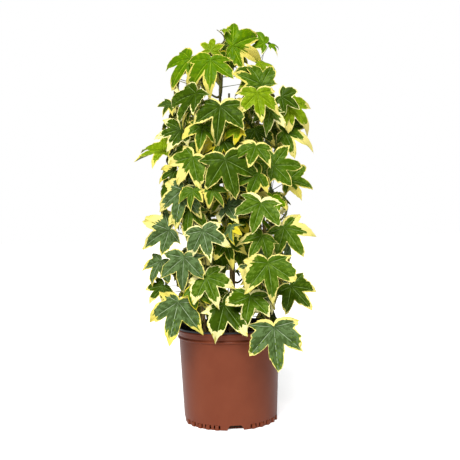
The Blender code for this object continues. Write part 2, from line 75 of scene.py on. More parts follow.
# Canes: foot side and front, head side, front and height, foot and head radius, as in the part's source
CANES = (
    ("cane_middle", (0.005, 0.005), (-0.004, 0.000, 0.925), (0.0060, 0.0028)),
    ("cane_left", (-0.060, 0.020), (-0.074, 0.025, 0.800), (0.0052, 0.0026)),
    ("cane_right", (0.100, 0.020), (0.084, 0.025, 0.860), (0.0050, 0.0026)),
    ("cane_back", (0.010, -0.075), (0.015, -0.085, 0.840), (0.0055, 0.0026)),
)
CANE_SIDES = 10
CANE_RINGS = 8
CANE_WANDER = 0.007
CANE_UPRIGHT = 0.012
CANE_TURN = 2.4

# Crown: the outer radius at each height, and the tiers of shoots with the number of sides of each
CROWN = ((0.10, 0.150), (0.20, 0.190), (0.30, 0.222), (0.45, 0.225), (0.60, 0.222), (0.70, 0.215),
         (0.80, 0.185), (0.88, 0.150), (0.93, 0.095), (0.97, 0.050), (1.01, 0.030))
SIDE_SHARE = 0.77
TIERS = (("skirt", 0.300, 6), ("low", 0.390, 6), ("middle", 0.490, 7), ("upper", 0.590, 7),
         ("high", 0.690, 6), ("shoulder", 0.790, 5), ("crest", 0.870, 3))
TIP_HEIGHT = 0.950
TIP_ASIDE = (0.006, -0.004, 0)
HOME_SHARE = 0.46
SHOOT_RISE = 0.055
SHOOT_SIDES = 4
SHOOT_RADII = (0.0032, 0.0028, 0.0024, 0.0020)
SHOOT_START = 0.010
SHOOT_AIM = 0.050
FOOT_MARGIN = 0.030
LEAVES_EACH = 4

# Leaf: each lobe's angle from the midrib and its length over the middle lobe's
LOBES = ((0, 1.0), (48, 0.88), (102, 0.64))
LOBE_HALF = 26
LOBE_FALL = 0.45
LOBE_POINT = 0.8
NOTCH_FALL = 0.84
OUTLINE_TURNS = (0, 13, 25, 48, 62, 80, 102, 135, 165)
DROOP = 0.17
FOLD = 0.10
WAVE = 0.035
CUPS = (-0.25, 0.22)
SKEW = 0.14
DROOPS = (0.5, 1.5)
BLADE_THICK = 0.026
BLADE_LEAST = 0.0022
STALK_SIDES = 3
STALK_RADII = (0.0017, 0.0017, 0.0014, 0.0005)
STALK_SEAT = (0.09, 0.19)
STALK_ARCH = (0.10, 0.35)
STALK_SHARES = (0.45, 0.97)
STALK_TRIES = 6
ROOM = 0.0035

# Leaves that show in front: side, front and height of the stalk's end and the middle lobe's length,
# all in millimetres; the way that lobe points, from straight down towards +X; the bearing that the
# leaf faces and how far it looks up, in degrees; and how much larger its lobes are on that +X side
FRONT_LEAVES = (
    (26, 40, 932, 92, 72, 5, 8, 0.26), (-79, 60, 898, 84, -40, -14, 20, -0.10),
    (-28, 110, 880, 94, -3, -5, 26, -0.10), (92, 100, 820, 82, -166, 10, 16, 0.18),
    (79, 150, 790, 77, 3, 8, 18, 0.0), (-63, 140, 795, 92, -27, -38, 22, -0.15),
    (-8, 170, 760, 88, -6, 2, 20, 0.12), (-103, 90, 720, 76, -78, -4, 26, 0.0),
    (-48, 140, 718, 72, -8, -5, 34, 0.10), (72, 175, 665, 68, -18, 5, 34, 0.0),
    (-73, 160, 645, 86, -34, -25, 16, 0.0), (2, 185, 635, 96, 12, -4, 12, 0.0),
    (114, 130, 624, 78, 92, 0, 14, 0.12), (77, 172, 602, 72, -76, 10, 20, 0.0),
    (-103, 150, 573, 92, -16, -10, 14, -0.14), (-75, 160, 568, 48, -6, -15, 30, 0.0),
    (-30, 160, 568, 45, 34, 0, 30, 0.0), (80, 185, 535, 80, -16, 6, 22, 0.0),
    (-72, 150, 527, 74, -10, -12, 30, 0.0), (-135, 110, 479, 84, -63, -5, 14, -0.18),
    (-53, 180, 475, 79, 17, -8, 16, 0.0), (-2, 140, 448, 64, 16, 5, 24, 0.0),
    (81, 165, 460, 66, -35, 8, 30, 0.05), (137, 120, 478, 88, 30, 2, 18, 0.12),
    (-98, 165, 415, 82, -3, -6, 14, 0.0), (-160, 90, 404, 64, -30, -15, 26, 0.0),
    (95, 180, 399, 94, 5, 6, 14, 0.0), (-48, 160, 368, 80, 25, -4, 24, 0.0),
    (152, 95, 337, 76, 34, 2, 18, 0.05), (52, 150, 322, 84, -11, 4, 30, 0.0),
    (-115, 150, 312, 101, -14, -10, 16, 0.0), (-9, 150, 303, 96, 31, 2, 18, 0.0),
    (103, 180, 253, 102, 3, 4, 10, 0.0), (140, 92, 792, 54, 60, 10, 12, 0.05),
    (156, 66, 780, 86, 52, 15, 18, 0.12), (148, 50, 714, 86, 72, 4, 30, 0.18),
    (154, 60, 594, 76, 84, 8, 24, 0.15), (-152, 40, 676, 82, -66, -12, 58, -0.30),
    (106, 5, 946, 50, -115, 15, 20, 0.0), (100, 30, 896, 46, 80, 10, 45, 0.0),
    (120, 0, 948, 30, 100, 10, 45, 0.0), (-28, 66, 914, 46, 172, -5, 15, 0.0),
    (-130, 60, 787, 38, -35, -10, 30, 0.0), (-122, 70, 622, 50, -62, -10, 30, 0.0),
    (-157, 80, 343, 56, -40, -10, 24, 0.0), (110, 110, 757, 62, -8, 5, 24, 0.0),
)

# Their looks, in the same order: the green, the turn from the midrib at which the cream edge is widest,
# in degrees, how much of the blade it takes there, and how much it takes behind the stalk's end
FRONT_LOOKS = (
    ("bright", -5, 0.46, 0.0), ("bright", 60, 0.08, 0.05), ("bright", -30, 0.20, 0.05),
    ("green", 60, 0.14, 0.1), ("young", 150, 0.20, 0.06), ("deep", 20, 0.04, 0.03),
    ("deep", -20, 0.10, 0.48), ("deep", 40, 0.08, 0.05), ("green", -60, 0.20, 0.2),
    ("green", -120, 0.44, 0.5), ("green", -8, 0.26, 0.5), ("deep", 140, 0.08, 0.25),
    ("green", 100, 0.08, 0.1), ("green", 90, 0.08, 0.1), ("grey", -100, 0.20, 0.1),
    ("green", 90, 0.24, 0.1), ("green", -90, 0.24, 0.1), ("green", 150, 0.66, 0.8),
    ("green", -40, 0.14, 0.3), ("grey", -60, 0.34, 0.3), ("grey", 90, 0.06, 0.15), ("deep", 60, 0.06, 0.05),
    ("green", -60, 0.18, 0.2), ("green", 74, 0.42, 0.5), ("grey", 100, 0.06, 0.1), ("grey", -50, 0.10, 0.0),
    ("green", -110, 0.16, 0.25), ("green", -115, 0.34, 0.1), ("deep", 20, 0.10, 0.15),
    ("green", -30, 0.14, 0.5), ("grey", -110, 0.22, 0.5), ("deep", -100, 0.12, 0.1),
    ("grey", 130, 0.26, 0.6), ("deep", 150, 0.34, 0.3), ("young", -60, 0.06, 0.0),
    ("green", -10, 0.34, 0.3), ("green", -60, 0.40, 0.3), ("young", 40, 0.08, 0.0),
    ("bright", 90, 0.04, 0.0), ("young", 90, 0.04, 0.0), ("bright", 90, 0.04, 0.0),
    ("young", 90, 0.08, 0.1), ("deep", 40, 0.28, 0.2), ("deep", -60, 0.44, 0.3), ("deep", 20, 0.08, 0.0),
    ("green", 60, 0.24, 0.2),
)
FRONT_TRIES = 60
FRONT_SHOOTS = 3
FRONT_SLACK = 0.0004
FRONT_LOOSE = 500

# Openings that the crown has from the front: their side, height and half widths, in the axis plane,
# seen from this far off and at this height
OPENINGS = (
    (-0.126, 0.444, 0.021, 0.021), (0.009, 0.835, 0.022, 0.015), (-0.043, 0.820, 0.010, 0.022),
    (0.016, 0.341, 0.021, 0.015), (-0.138, 0.318, 0.012, 0.014), (0.131, 0.590, 0.011, 0.009),
    (0.148, 0.272, 0.026, 0.014), (-0.172, 0.512, 0.022, 0.028),
)
VIEW_DISTANCE = 1.65
VIEW_HEIGHT = 0.475

# Leaves that the rule adds
FILL_LENGTHS = (0.058, 0.100)
FILL_REACH = (0.60, 0.80)
FILL_REACH_FRONT = (0.36, 0.66)
FRONT_SECTOR = 75
FILL_TILTS = (4, 50)
FILL_SWING = 34
FILL_TURN = 26
FILL_SPREAD = 0.055
FILL_TRIES = 60
POT_MARGIN = 0.008
FRONT_HANG = 0.262
SEED = 41

# What the scene adds to the rule: young twigs with small leaves past the shoots' homes, and smaller leaves
# inside the crown, which end at INNER_TOP and are all of the plain green above GREY_TOP
INNER_EACH = 10
INNER_TRIES = 14
INNER_TOP = 0.93
GREY_TOP = 0.80
INNER_REACH = (0.18, 0.80)
INNER_LENGTHS = (0.040, 0.076)
INNER_TURN = 40
TWIG_TRIES = 12
TWIG_TURN = 30
TWIG_LENGTHS = (0.045, 0.085)
TWIG_RISES = (5, 60)
TWIG_POINTS = 5
TWIG_RADII = (0.0019, 0.0016, 0.0014, 0.0011, 0.0008)
TWIG_BEND = 0.4
YOUNG_LENGTHS = (0.016, 0.036)
YOUNG_TURNS = (0.4, 1.1)
YOUNG_RISE = 25
YOUNG_TILTS = (10, 60)

# A leaf close up: how many rings the green part has on a leaf in front, another large one and a small
# one; where the cream edge's rings lie; which rings the underside keeps; the columns from lobe to lobe
FRONT_RINGS = 20
FINE_RINGS = 10
PLAIN_RINGS = 5
EDGE_RINGS = (0.5, 1.0)
UNDER_EVERY = 3
FINE_STEPS = (16, 17, 20)
PLAIN_STEPS = (8, 8, 8)
FINE_LENGTH = 0.056
LEAF_THICK = 0.0009
LOBE_ROUND = 1.18
LOBE_SIZES = (0.94, 1.03)
LOBE_LEAN = 3.0
LOBE_CURL = 0.17
TIP_CURL = 0.22
CURL_SPREAD = 1.3
CREASE = 0.050
CREASE_WIDTH = 5
TIP_PROUD = 0.05
TIP_TURN = 3.2
BAY_FALLS = (0.50, 0.60)
WEB_FALLS = {48: 0.31, 102: 0.48}
WEB_VARIES = (0.7, 1.3)
BAY_SMOOTH = 18
EAR_POINTS = (0.50, 0.95)
REACH_LEAST = 0.02
EDGE_WAVES = (9, 17, 29)
EDGE_RIPPLE = 0.020
EDGE_JAG = 0.045
EDGE_WAVE = 0.045
QUILT = 0.011
SIDE_SLANT = 0.9
SIDE_SPACING = 0.15
PATCH_WAVES = 5
PATCH_FINE = 22
PATCH_GRAIN = 0.7
PATCH_VARIES = (0.5, 1.6)
PATCH_OUT = 1.0
PATCH_MIDDLE = 0.6
PATCH_VEIN = 0.8
VEIN_WIDTH = 0.010
VEIN_TAPER = 0.8
VEIN_MOST = 0.05
CREAM_SPREAD = 34
CREAM_LEAST = 0.02
CREAM_MOST = 0.95
CREAM_WAVES = ((0.4, (2, 3, 5)), (0.22, (11, 17)))
EARS = (-0.1, 0.45)
EAR_START = 112
EAR_SPREAD = 40
EAR_WAVE = 0.4
TIPS = (-0.25, 0.22)
TIP_SPREAD = 7
CREAM_WIDTHS = (0.020, 0.055)
CREAM_JAG = 0.035
JAG_SHARE = 0.5
CREAM_WIDE = (0.05, 0.42)
INNER_CREAM = (0.3, 0.9)

# Greens: the colour of most of the leaf and of its paler patches, the colour of its main veins, the share
# of its faces that is dark, and how many leaves in a hundred take it at the foot and at the top of the crown
GREENS = {
    "deep": ("#364E02", "#4A6410", "vein_pale", 0.85, 34, 20),
    "green": ("#446206", "#5E7A20", "vein_pale", 0.72, 30, 28),
    "grey": ("#43582A", "#5B7343", "vein_grey", 0.50, 30, 10),
    "bright": ("#557B00", "#6C8E03", "vein_yellow", 0.75, 4, 26),
    "young": ("#708C06", "#88A216", "vein_yellow", 0.70, 2, 16),
}
GREEN_FOOT = 0.3
GREEN_RISE = 0.6
DARK_VARIES = 0.1

# Creams: how many leaves in a hundred take each, outside and inside the crown; inside, most take a darker,
# saturated cream that is painted shade and painted light shining through the leaf
CREAMS = {"cream_pale": 42, "cream": 46, "cream_yellow": 12}
INNER_CREAMS = {"cream": 15, "cream_yellow": 25, "cream_shade": 60}
# The undersides' green and cream are their own paler colours, made lighter and yellower with painted light
# shining through the leaf
UNDERSIDE_WITH_GLOW = "leaf_underside"
UNDER_CREAM_WITH_GLOW = "cream_underside"
LEAF_COLOURS = {
    "vein_pale": "#7C9650", "vein_grey": "#98AA84", "vein_yellow": "#9AB62C",
    # the last cream on the next line is painted shade and painted light shining through the leaf, for leaves
    # inside the crown
    "cream_pale": "#F4EDA4", "cream": "#ECDF82", "cream_yellow": "#E2D466", "cream_shade": "#CFC02E",
    UNDERSIDE_WITH_GLOW: "#5B741C", UNDER_CREAM_WITH_GLOW: "#CFC65C",
}
for green, row in GREENS.items():
    LEAF_COLOURS["leaf_" + green], LEAF_COLOURS[f"leaf_{green}_pale"] = row[:2]
LEAF_SHARP = 70
LIMB_SHARP = 60
LEAF_ROUGHNESS = 0.42
LEAF_GLOSS = 0.06
STALK_COLOUR = "#6E7A2C"
STALK_USUAL = 0.09
STALK_THIN = 0.00095
STALK_FOOT = 0.0009
STALK_HEAD = 0.0005
SHOOT_COLOUR = "#77742C"
SKIN_ROUGHNESS = 0.55

# Details of the pot, the potting mix and the canes
RIDGE = 0.0033
RIPPLE = 0.00012
RIPPLES = 26
RIPPLE_TURNS = (1.9, 0.7)
POT_SHARP = 32
RIB_STEP = 0.0026
RIB_TAPER = 0.9
RIB_CORNER = 0.35
SLOT_WIDTH = 0.0042
SLOT_DEPTH = 0.0016
SLOT_TAPER = 0.7
SLOT_CORNER = 0.45
NOTCH_CORNER = 0.32
LINING_DEPTH = 0.012
SOIL_FOOT_RADIUS = 0.100
SOIL_FOOT_HEIGHT = 0.016
SOIL_SHOULDER = 0.026
SOIL_RINGS = 24
SOIL_LUMP = 0.012
SOIL_SHARP = 40
CHIP_LENGTH = 0.014
CHIP_COUNT = 900
CHIP_SHAPE = (1, 0.55, 0.28)
CHIP_BEVEL = 0.12
CHIP_ROLL = 0.35
CHIP_PITCH = 0.25
CHIP_ROUGH = (0.8, 1.2)
CHIP_SIZES = (0.35, 1.0)
CHIP_DEPTHS = (0.12, 0.32)
CHIP_SHARP = 30
CANE_FINE_SIDES = 20
CANE_DETAIL = 26
CANE_APART = 7.0
BARK_RIDGE = 0.016
BARK_DEPTH = 0.00045
BARK_FINE = 2.7
BARK_ROUND = 2
SCAR_FIRST = 0.05
SCAR_EVERY = 0.045
SCAR_COUNT = 16
SCAR_SHIFT = 0.3
SCAR_TURN = 2.3
SCAR_WIDTH = 0.0022
SCAR_PROUD = 0.0007
SHOOT_FINE_SIDES = 10
STALK_FINE_SIDES = 7
STEM_DETAIL = 5
TWIG_DETAIL = 3
STALK_DETAIL = 5

# Camera, in the place that the photograph was taken from, and lights
CAMERA_PLACE = (0.0087, -1.65, 0.475)
CAMERA_ROLL = 0.024
CAMERA_LENS = 50.8
FLOOR_SIZE = 60.0
KEY_TURN = (47, 0, -12)
KEY_STRENGTH = 3.8
KEY_SOFTNESS = 34
WORLD_STRENGTH = 0.17
FLOOR_GLOW = 0.12
FLOOR_SEEN = 0.66


def between(low, high, share):
    """The value or point that lies a share of the way from low to high."""
    return low + (high - low) * share


def heading(bearing, rise=0.0):
    """The unit vector at a bearing and an angle of rise, both in degrees."""
    turn, lift = math.radians(bearing), math.radians(rise)
    return Vector((math.sin(turn) * math.cos(lift), -math.cos(turn) * math.cos(lift), math.sin(lift)))


def bearing_of(point):
    """A point's bearing round the axis, in degrees."""
    return math.degrees(math.atan2(point.x, -point.y))


def crown_radius(height):
    """The crown's outer radius at a height."""
    if height <= CROWN[0][0]:
        return CROWN[0][1]
    for (low, low_radius), (high, high_radius) in zip(CROWN, CROWN[1:]):
        if height <= high:
            return between(low_radius, high_radius, (height - low) / (high - low))
    return 0.0


def bend(start, control, end, count):
    """Points along a smooth bend from start to end, drawn towards a control point."""
    points = []
    for step in range(count):
        share = step / (count - 1)
        points.append(between(between(start, control, share), between(control, end, share), share))
    return points


def limb(path, radii, sides):
    """One limb round a bent path, with a radius at each of its points, closed at its ends."""
    corners, faces = [], []
    last = len(path) - 1
    across = (path[1] - path[0]).orthogonal()
    for i, here in enumerate(path):
        before, after = path[max(i - 1, 0)], path[min(i + 1, last)]
        ahead = ((here - before).normalized() + (after - here).normalized()).normalized()
        across = (across - ahead * across.dot(ahead)).normalized()
        beside = ahead.cross(across)
        for k in range(sides):
            turn = math.tau * k / sides
            corners.append(here + (across * math.cos(turn) + beside * math.sin(turn)) * radii[i])
    for i in range(last):
        low, high = i * sides, (i + 1) * sides
        for k in range(sides):
            after = (k + 1) % sides
            faces.append((low + k, low + after, high + after, high + k))
    faces.append(tuple(reversed(range(sides))))
    faces.append(tuple(last * sides + k for k in range(sides)))
    return corners, faces


def lobe_reach(turn, skew):
    """How far the blade reaches at an angle from its midrib, over the middle lobe's length."""
    side = skew if turn > 0 else -skew
    turn = abs(turn)
    last_angle = LOBES[-1][0]
    lobes = [(angle, size * (1 + side * angle / last_angle)) for angle, size in LOBES]
    if turn > last_angle:
        return lobes[-1][1] * (1 - NOTCH_FALL * (turn - last_angle) / (180 - last_angle))
    falls = [(size, LOBE_FALL * (abs(turn - angle) / LOBE_HALF) ** LOBE_POINT) for angle, size in lobes]
    return max(size * (1 - fall) for size, fall in falls)


def blade_height(turn, reach, leaf):
    """How far the blade stands above its plane: its halves tip, lobes droop, the web between is raised."""
    off_lobe = min(abs(abs(turn) - angle) for angle, _ in LOBES)
    fold = FOLD * reach * min(off_lobe / LOBE_HALF, 1.0)
    cup = leaf["cup"] * reach * abs(math.sin(math.radians(turn)))
    wave = WAVE * reach * math.sin(math.radians(3 * turn) + leaf["phase"])
    return fold + cup + wave - DROOP * leaf["droop"] * reach * reach


def blade(leaf, room=0.0):
    """A star-shaped leaf: a fan above and a fan below that meet along the lobed outline."""
    middle, face = leaf["midrib"], leaf["face"]
    across = face.cross(middle)
    half = max(leaf["length"] * BLADE_THICK, BLADE_LEAST) / 2 + room
    corners = [leaf["base"] + face * half, leaf["base"] - face * half]
    turns = list(OUTLINE_TURNS) + [-turn for turn in reversed(OUTLINE_TURNS[1:])]
    for turn in turns:
        reach = lobe_reach(turn, leaf["skew"])
        angle = math.radians(turn)
        flat = (middle * math.cos(angle) + across * math.sin(angle)) * reach
        corners.append(leaf["base"] + (flat + face * blade_height(turn, reach, leaf)) * leaf["length"])
    count = len(turns)
    faces = []
    for k in range(count):
        this, after = 2 + k, 2 + (k + 1) % count
        faces.append((0, this, after))
        faces.append((1, after, this))
    return corners, faces


def stalk_path(start, leaf, arch):
    """A leaf's stalk: it arches over from its shoot to the leaf's back and ends inside its midrib."""
    tip = leaf["base"] + (leaf["midrib"] + leaf["face"] * blade_height(0, 1, leaf)) * leaf["length"]
    seat, inside = (between(leaf["base"], tip, share) for share in STALK_SEAT)
    seat -= leaf["face"] * STALK_RADII[-2]
    control = seat - (leaf["midrib"] + leaf["face"]) * arch
    path = bend(start, control, seat, len(STALK_RADII) - 1)
    path.append(inside - leaf["face"] * STALK_RADII[-1] / 2)
    return path


def set_leaf(base, length, bearing, tilt, swing, chance):
    """A leaf's place: its face looks out along a bearing and up by tilt, its lobe hangs by swing."""
    face = heading(bearing, tilt)
    down = heading(bearing, tilt - 90)
    across = face.cross(down)
    turn = math.radians(swing)
    return {
        "base": base,
        "length": length,
        "face": face,
        "midrib": (down * math.cos(turn) + across * math.sin(turn)).normalized(),
        "droop": chance.uniform(*DROOPS),
        "cup": chance.uniform(*CUPS),
        "skew": chance.uniform(-SKEW, SKEW),
        "phase": chance.uniform(0, math.tau),
    }


def tree_of(shape):
    """A shape's corners and search tree, for telling whether others touch it."""
    corners, faces = shape
    low = [min(corner[axis] for corner in corners) for axis in range(3)]
    high = [max(corner[axis] for corner in corners) for axis in range(3)]
    return low, high, BVHTree.FromPolygons(corners, faces)


def touches(shape, taken):
    """Whether a shape's surface meets any of the shapes that have their place already."""
    low, high, tree = tree_of(shape)
    for other_low, other_high, other in taken:
        apart = any(low[axis] > other_high[axis] or high[axis] < other_low[axis] for axis in range(3))
        if not apart and tree.overlap(other):
            return True
    return False


def in_opening(point):
    """Whether a point shows in one of the crown's openings, or past its sides, from the front."""
    share = VIEW_DISTANCE / (VIEW_DISTANCE + point.y)
    side = point.x * share
    height = VIEW_HEIGHT + (point.z - VIEW_HEIGHT) * share
    if abs(side) > crown_radius(height) * SIDE_SHARE:
        return True
    return any(abs(side - middle) < half_width and abs(height - level) < half_height
               for middle, level, half_width, half_height in OPENINGS)


def inside_crown(leaf):
    """Whether a leaf stays within the crown's outline and outside its openings and the pot."""
    for corner in blade(leaf)[0]:
        radius = math.hypot(corner.x, corner.y)
        if radius > crown_radius(corner.z):
            return False
        if corner.z < POT_HEIGHT + POT_MARGIN and radius < RIM_RADIUS + POT_MARGIN:
            return False
        if corner.z < FRONT_HANG and abs(bearing_of(corner)) < FRONT_SECTOR:
            return False
        if in_opening(corner) or in_opening(between(leaf["base"], corner, 0.5)):
            return False
    return True


def cane_path(cane):
    """The points up a cane, which wanders a little on its way from foot to head."""
    _, (foot_side, foot_front), (head_side, head_front, head_height), _ = cane
    foot = Vector((foot_side, -foot_front, SOIL_LEVEL + CLEAR))
    head = Vector((head_side, -head_front, head_height))
    turn = CANES.index(cane) * CANE_TURN
    path = [foot, foot + Vector((0, 0, CANE_UPRIGHT))]
    for ring in range(1, CANE_RINGS):
        share = ring / (CANE_RINGS - 1)
        sway = CANE_WANDER * math.sin(math.tau * share)
        path.append(between(path[1], head, share) + Vector((math.cos(turn), math.sin(turn), 0)) * sway)
    return path


def at_height(path, height):
    """The point on a rising path at a height."""
    for low, high in zip(path, path[1:]):
        if height <= high.z:
            return between(low, high, (height - low.z) / (high.z - low.z))
    return path[-1]


def shoot_homes():
    """Each shoot's name and home: tiers of sides, each tier turned by half a side, and the tip."""
    homes = []
    for tier, (name, height, sides) in enumerate(TIERS):
        for side in range(sides):
            bearing = 360 * (side + 0.5 * (tier % 2)) / sides
            home = heading(bearing) * crown_radius(height) * HOME_SHARE
            home.z = height
            homes.append({"name": f"foliage_{name}_{side + 1}", "home": home, "bearing": bearing,
                          "spread": 180 / sides})
    tip = at_height(cane_path(CANES[0]), TIP_HEIGHT) + Vector(TIP_ASIDE)
    tip.z = TIP_HEIGHT
    homes.append({"name": "foliage_tip", "home": tip, "bearing": 0.0, "spread": 180})
    return homes


def grow_shoot(shoot, canes):
    """A shoot's stem, from just clear of the nearest cane to the shoot's home."""
    home = shoot["home"]
    at_tip = shoot["name"] == "foliage_tip"
    node = home.z - SHOOT_RISE
    node = max(node, SOIL_LEVEL + FOOT_MARGIN)
    if at_tip:
        cane = canes[0]
        aim, source = cane["path"][-1], home
    else:
        tall = [cane for cane in canes if cane["path"][-1].z > node + FOOT_MARGIN / 2]
        cane = min(tall, key=lambda each: (at_height(each["path"], node) - home).xy.length)
        aim = at_height(cane["path"], node)
        away = Vector((home.x - aim.x, home.y - aim.y, 0)).normalized()
        source = aim + away * SHOOT_AIM
    hit, normal, _, _ = cane["tree"].ray_cast(source, aim - source)
    start = hit + normal * CLEAR
    path = [start]
    path += bend(start + normal * SHOOT_START, start + normal * SHOOT_START * 2.5, home, 3)
    shoot["stem"] = path
    shoot["tree"] = tree_of(limb(path, SHOOT_RADII, SHOOT_SIDES))
    shoot["leaves"] = []


def add_leaf(shoot, leaf, taken, chance):
    """Give a shoot a leaf if its blade and a stalk to it find room; say whether they did."""
    if touches(blade(leaf, ROOM), taken):
        return False
    stem = shoot["stem"]
    for _ in range(STALK_TRIES):
        share = chance.uniform(*STALK_SHARES)
        place = 1 + share * (len(stem) - 2)
        start = between(stem[int(place)], stem[int(place) + 1], place - int(place))
        reach = (leaf["base"] - start).length
        path = stalk_path(start, leaf, reach * chance.uniform(*STALK_ARCH))
        twig = limb(path, STALK_RADII, STALK_SIDES)
        beyond = limb(path[1:], STALK_RADII[1:], STALK_SIDES)
        others = [each for each in taken if each is not shoot["tree"]]
        if not touches(twig, others) and not touches(beyond, [shoot["tree"]]):
            taken.append(tree_of(blade(leaf)))
            taken.append(tree_of(twig))
            leaf["stalk"] = path
            shoot["leaves"].append(leaf)
            return True
    return False


def nearest_shoots(shoots, point):
    """The shoots in the order of their homes' distance from a point."""
    return sorted(shoots, key=lambda shoot: (shoot["home"] - point).length)


def grow_front_leaf(row, shoots, taken, chance):
    """A leaf that shows in front: it takes its own place, or one close by that is free."""
    side, front, height, length, swing, facing, tilt, skew = row
    for attempt in range(FRONT_TRIES):
        slack = FRONT_SLACK * attempt
        base = Vector((side / 1000, -front / 1000, height / 1000))
        base += Vector([chance.uniform(-slack, slack) for _ in range(3)])
        turn = facing + chance.uniform(-slack, slack) * FRONT_LOOSE
        rise = tilt + chance.uniform(-slack, slack) * FRONT_LOOSE
        leaf = set_leaf(base, length / 1000, turn, rise, swing, chance)
        leaf["skew"] = skew
        for shoot in nearest_shoots(shoots, base)[:FRONT_SHOOTS]:
            if add_leaf(shoot, leaf, taken, chance):
                return leaf
    return None


def grow_fill_leaf(shoot, taken, chance):
    """A leaf by rule, in the shoot's own space between its neighbours."""
    for _ in range(FILL_TRIES):
        bearing = shoot["bearing"] + chance.uniform(-1, 1) * shoot["spread"]
        height = shoot["home"].z + chance.uniform(-FILL_SPREAD, FILL_SPREAD)
        in_front = abs((bearing + 180) % 360 - 180) < FRONT_SECTOR
        reach = crown_radius(height) * chance.uniform(*(FILL_REACH_FRONT if in_front else FILL_REACH))
        base = heading(bearing) * reach + Vector((0, 0, height))
        facing = bearing + chance.gauss(0, FILL_TURN)
        length = chance.uniform(*FILL_LENGTHS)
        tilt = chance.uniform(*FILL_TILTS)
        leaf = set_leaf(base, length, facing, tilt, chance.gauss(0, FILL_SWING), chance)
        if inside_crown(leaf) and add_leaf(shoot, leaf, taken, chance):
            return True
    return False


def grow_plant(taken):
    """All canes and shoots: stems first, then the leaves in front, then the rest, turn by turn."""
    chance = random.Random(SEED)
    canes = []
    for cane in CANES:
        path = cane_path(cane)
        radii = [between(cane[3][0], cane[3][1], ring / CANE_RINGS) for ring in range(CANE_RINGS + 1)]
        entry = tree_of(limb(path, radii, CANE_SIDES))
        taken.append(entry)
        canes.append({"name": cane[0], "path": path, "radii": radii, "tree": entry[2]})
    shoots = shoot_homes()
    for shoot in shoots:
        grow_shoot(shoot, canes)
        taken.append(shoot["tree"])
    for row, (green, turn, width, ears) in zip(FRONT_LEAVES, FRONT_LOOKS):
        leaf = grow_front_leaf(row, shoots, taken, chance)
        if leaf:
            leaf.update(front=True, green=green, cream_turn=turn, cream_width=width, ears=ears)
    for _ in range(LEAVES_EACH):
        for shoot in shoots:
            if len(shoot["leaves"]) < LEAVES_EACH:
                grow_fill_leaf(shoot, taken, chance)
    return canes, shoots


def grow_inner_leaf(shoot, taken, chance):
    """A smaller leaf in the shade inside the crown."""
    for _ in range(INNER_TRIES):
        bearing = shoot["bearing"] + chance.uniform(-1, 1) * shoot["spread"]
        height = shoot["home"].z + chance.uniform(-FILL_SPREAD, FILL_SPREAD)
        base = heading(bearing) * crown_radius(height) * chance.uniform(*INNER_REACH)
        base.z = height
        facing = bearing + chance.gauss(0, INNER_TURN)
        swing = chance.gauss(0, FILL_SWING)
        length = chance.uniform(*INNER_LENGTHS)
        leaf = set_leaf(base, length, facing, chance.uniform(*FILL_TILTS), swing, chance)
        if height < INNER_TOP and inside_crown(leaf) and add_leaf(shoot, leaf, taken, chance):
            leaf["inner"] = True
            return True
    return False


def grow_twig(shoot, taken, chance):
    """A young twig that carries a shoot on past its home, with small leaves up its length."""
    home = shoot["home"]
    for _ in range(TWIG_TRIES):
        bearing = shoot["bearing"] + chance.gauss(0, TWIG_TURN)
        length = chance.uniform(*TWIG_LENGTHS)
        rise = heading(bearing, chance.uniform(*TWIG_RISES))
        control = home + (home - shoot["stem"][-2]).normalized() * length * TWIG_BEND
        path = bend(home, control, home + rise * length, TWIG_POINTS)
        beyond = limb(path[1:], TWIG_RADII[1:], SHOOT_SIDES)
        others = [each for each in taken if each is not shoot["tree"]]
        outside = math.hypot(path[-1].x, path[-1].y) > crown_radius(path[-1].z)
        if not outside and not in_opening(path[-1]) and not touches(beyond, others):
            taken.append(tree_of(beyond))
            shoot["twig"] = path
            break
    else:
        return
    for place in range(1, TWIG_POINTS):
        side = 90 if place % 2 else -90
        size = between(*YOUNG_LENGTHS, 1 - place / TWIG_POINTS)
        point = path[place]
        turn = bearing + side * chance.uniform(*YOUNG_TURNS)
        base = point + heading(turn, YOUNG_RISE) * size * 0.5
        leaf = set_leaf(base, size, bearing + side / 3, chance.uniform(*YOUNG_TILTS), side / 2, chance)
        if inside_crown(leaf) and not touches(blade(leaf), taken):
            leaf["stalk"] = [point, between(point, base, 0.5) + Vector((0, 0, size * 0.1)), base]
            leaf["young"] = True
            taken.append(tree_of(blade(leaf)))
            shoot["leaves"].append(leaf)


def leaf_columns(steps):
    """The angles of a leaf's columns from its midrib, each with the side of the vein that it borders."""
    half = [(0, 1)]
    anchors = [angle for angle, _ in LOBES] + [180]
    for (start, stop), count in zip(zip(anchors, anchors[1:]), steps):
        if start:
            half += [(start, -1), (start, 1)]
        half += [(between(start, stop, k / count), 0) for k in range(1, count)]
    other = [(-turn, -side) for turn, side in reversed(half)]
    columns = half + [(180, 0)] + other
    return np.radians([turn for turn, _ in columns]), np.array([side for _, side in columns])


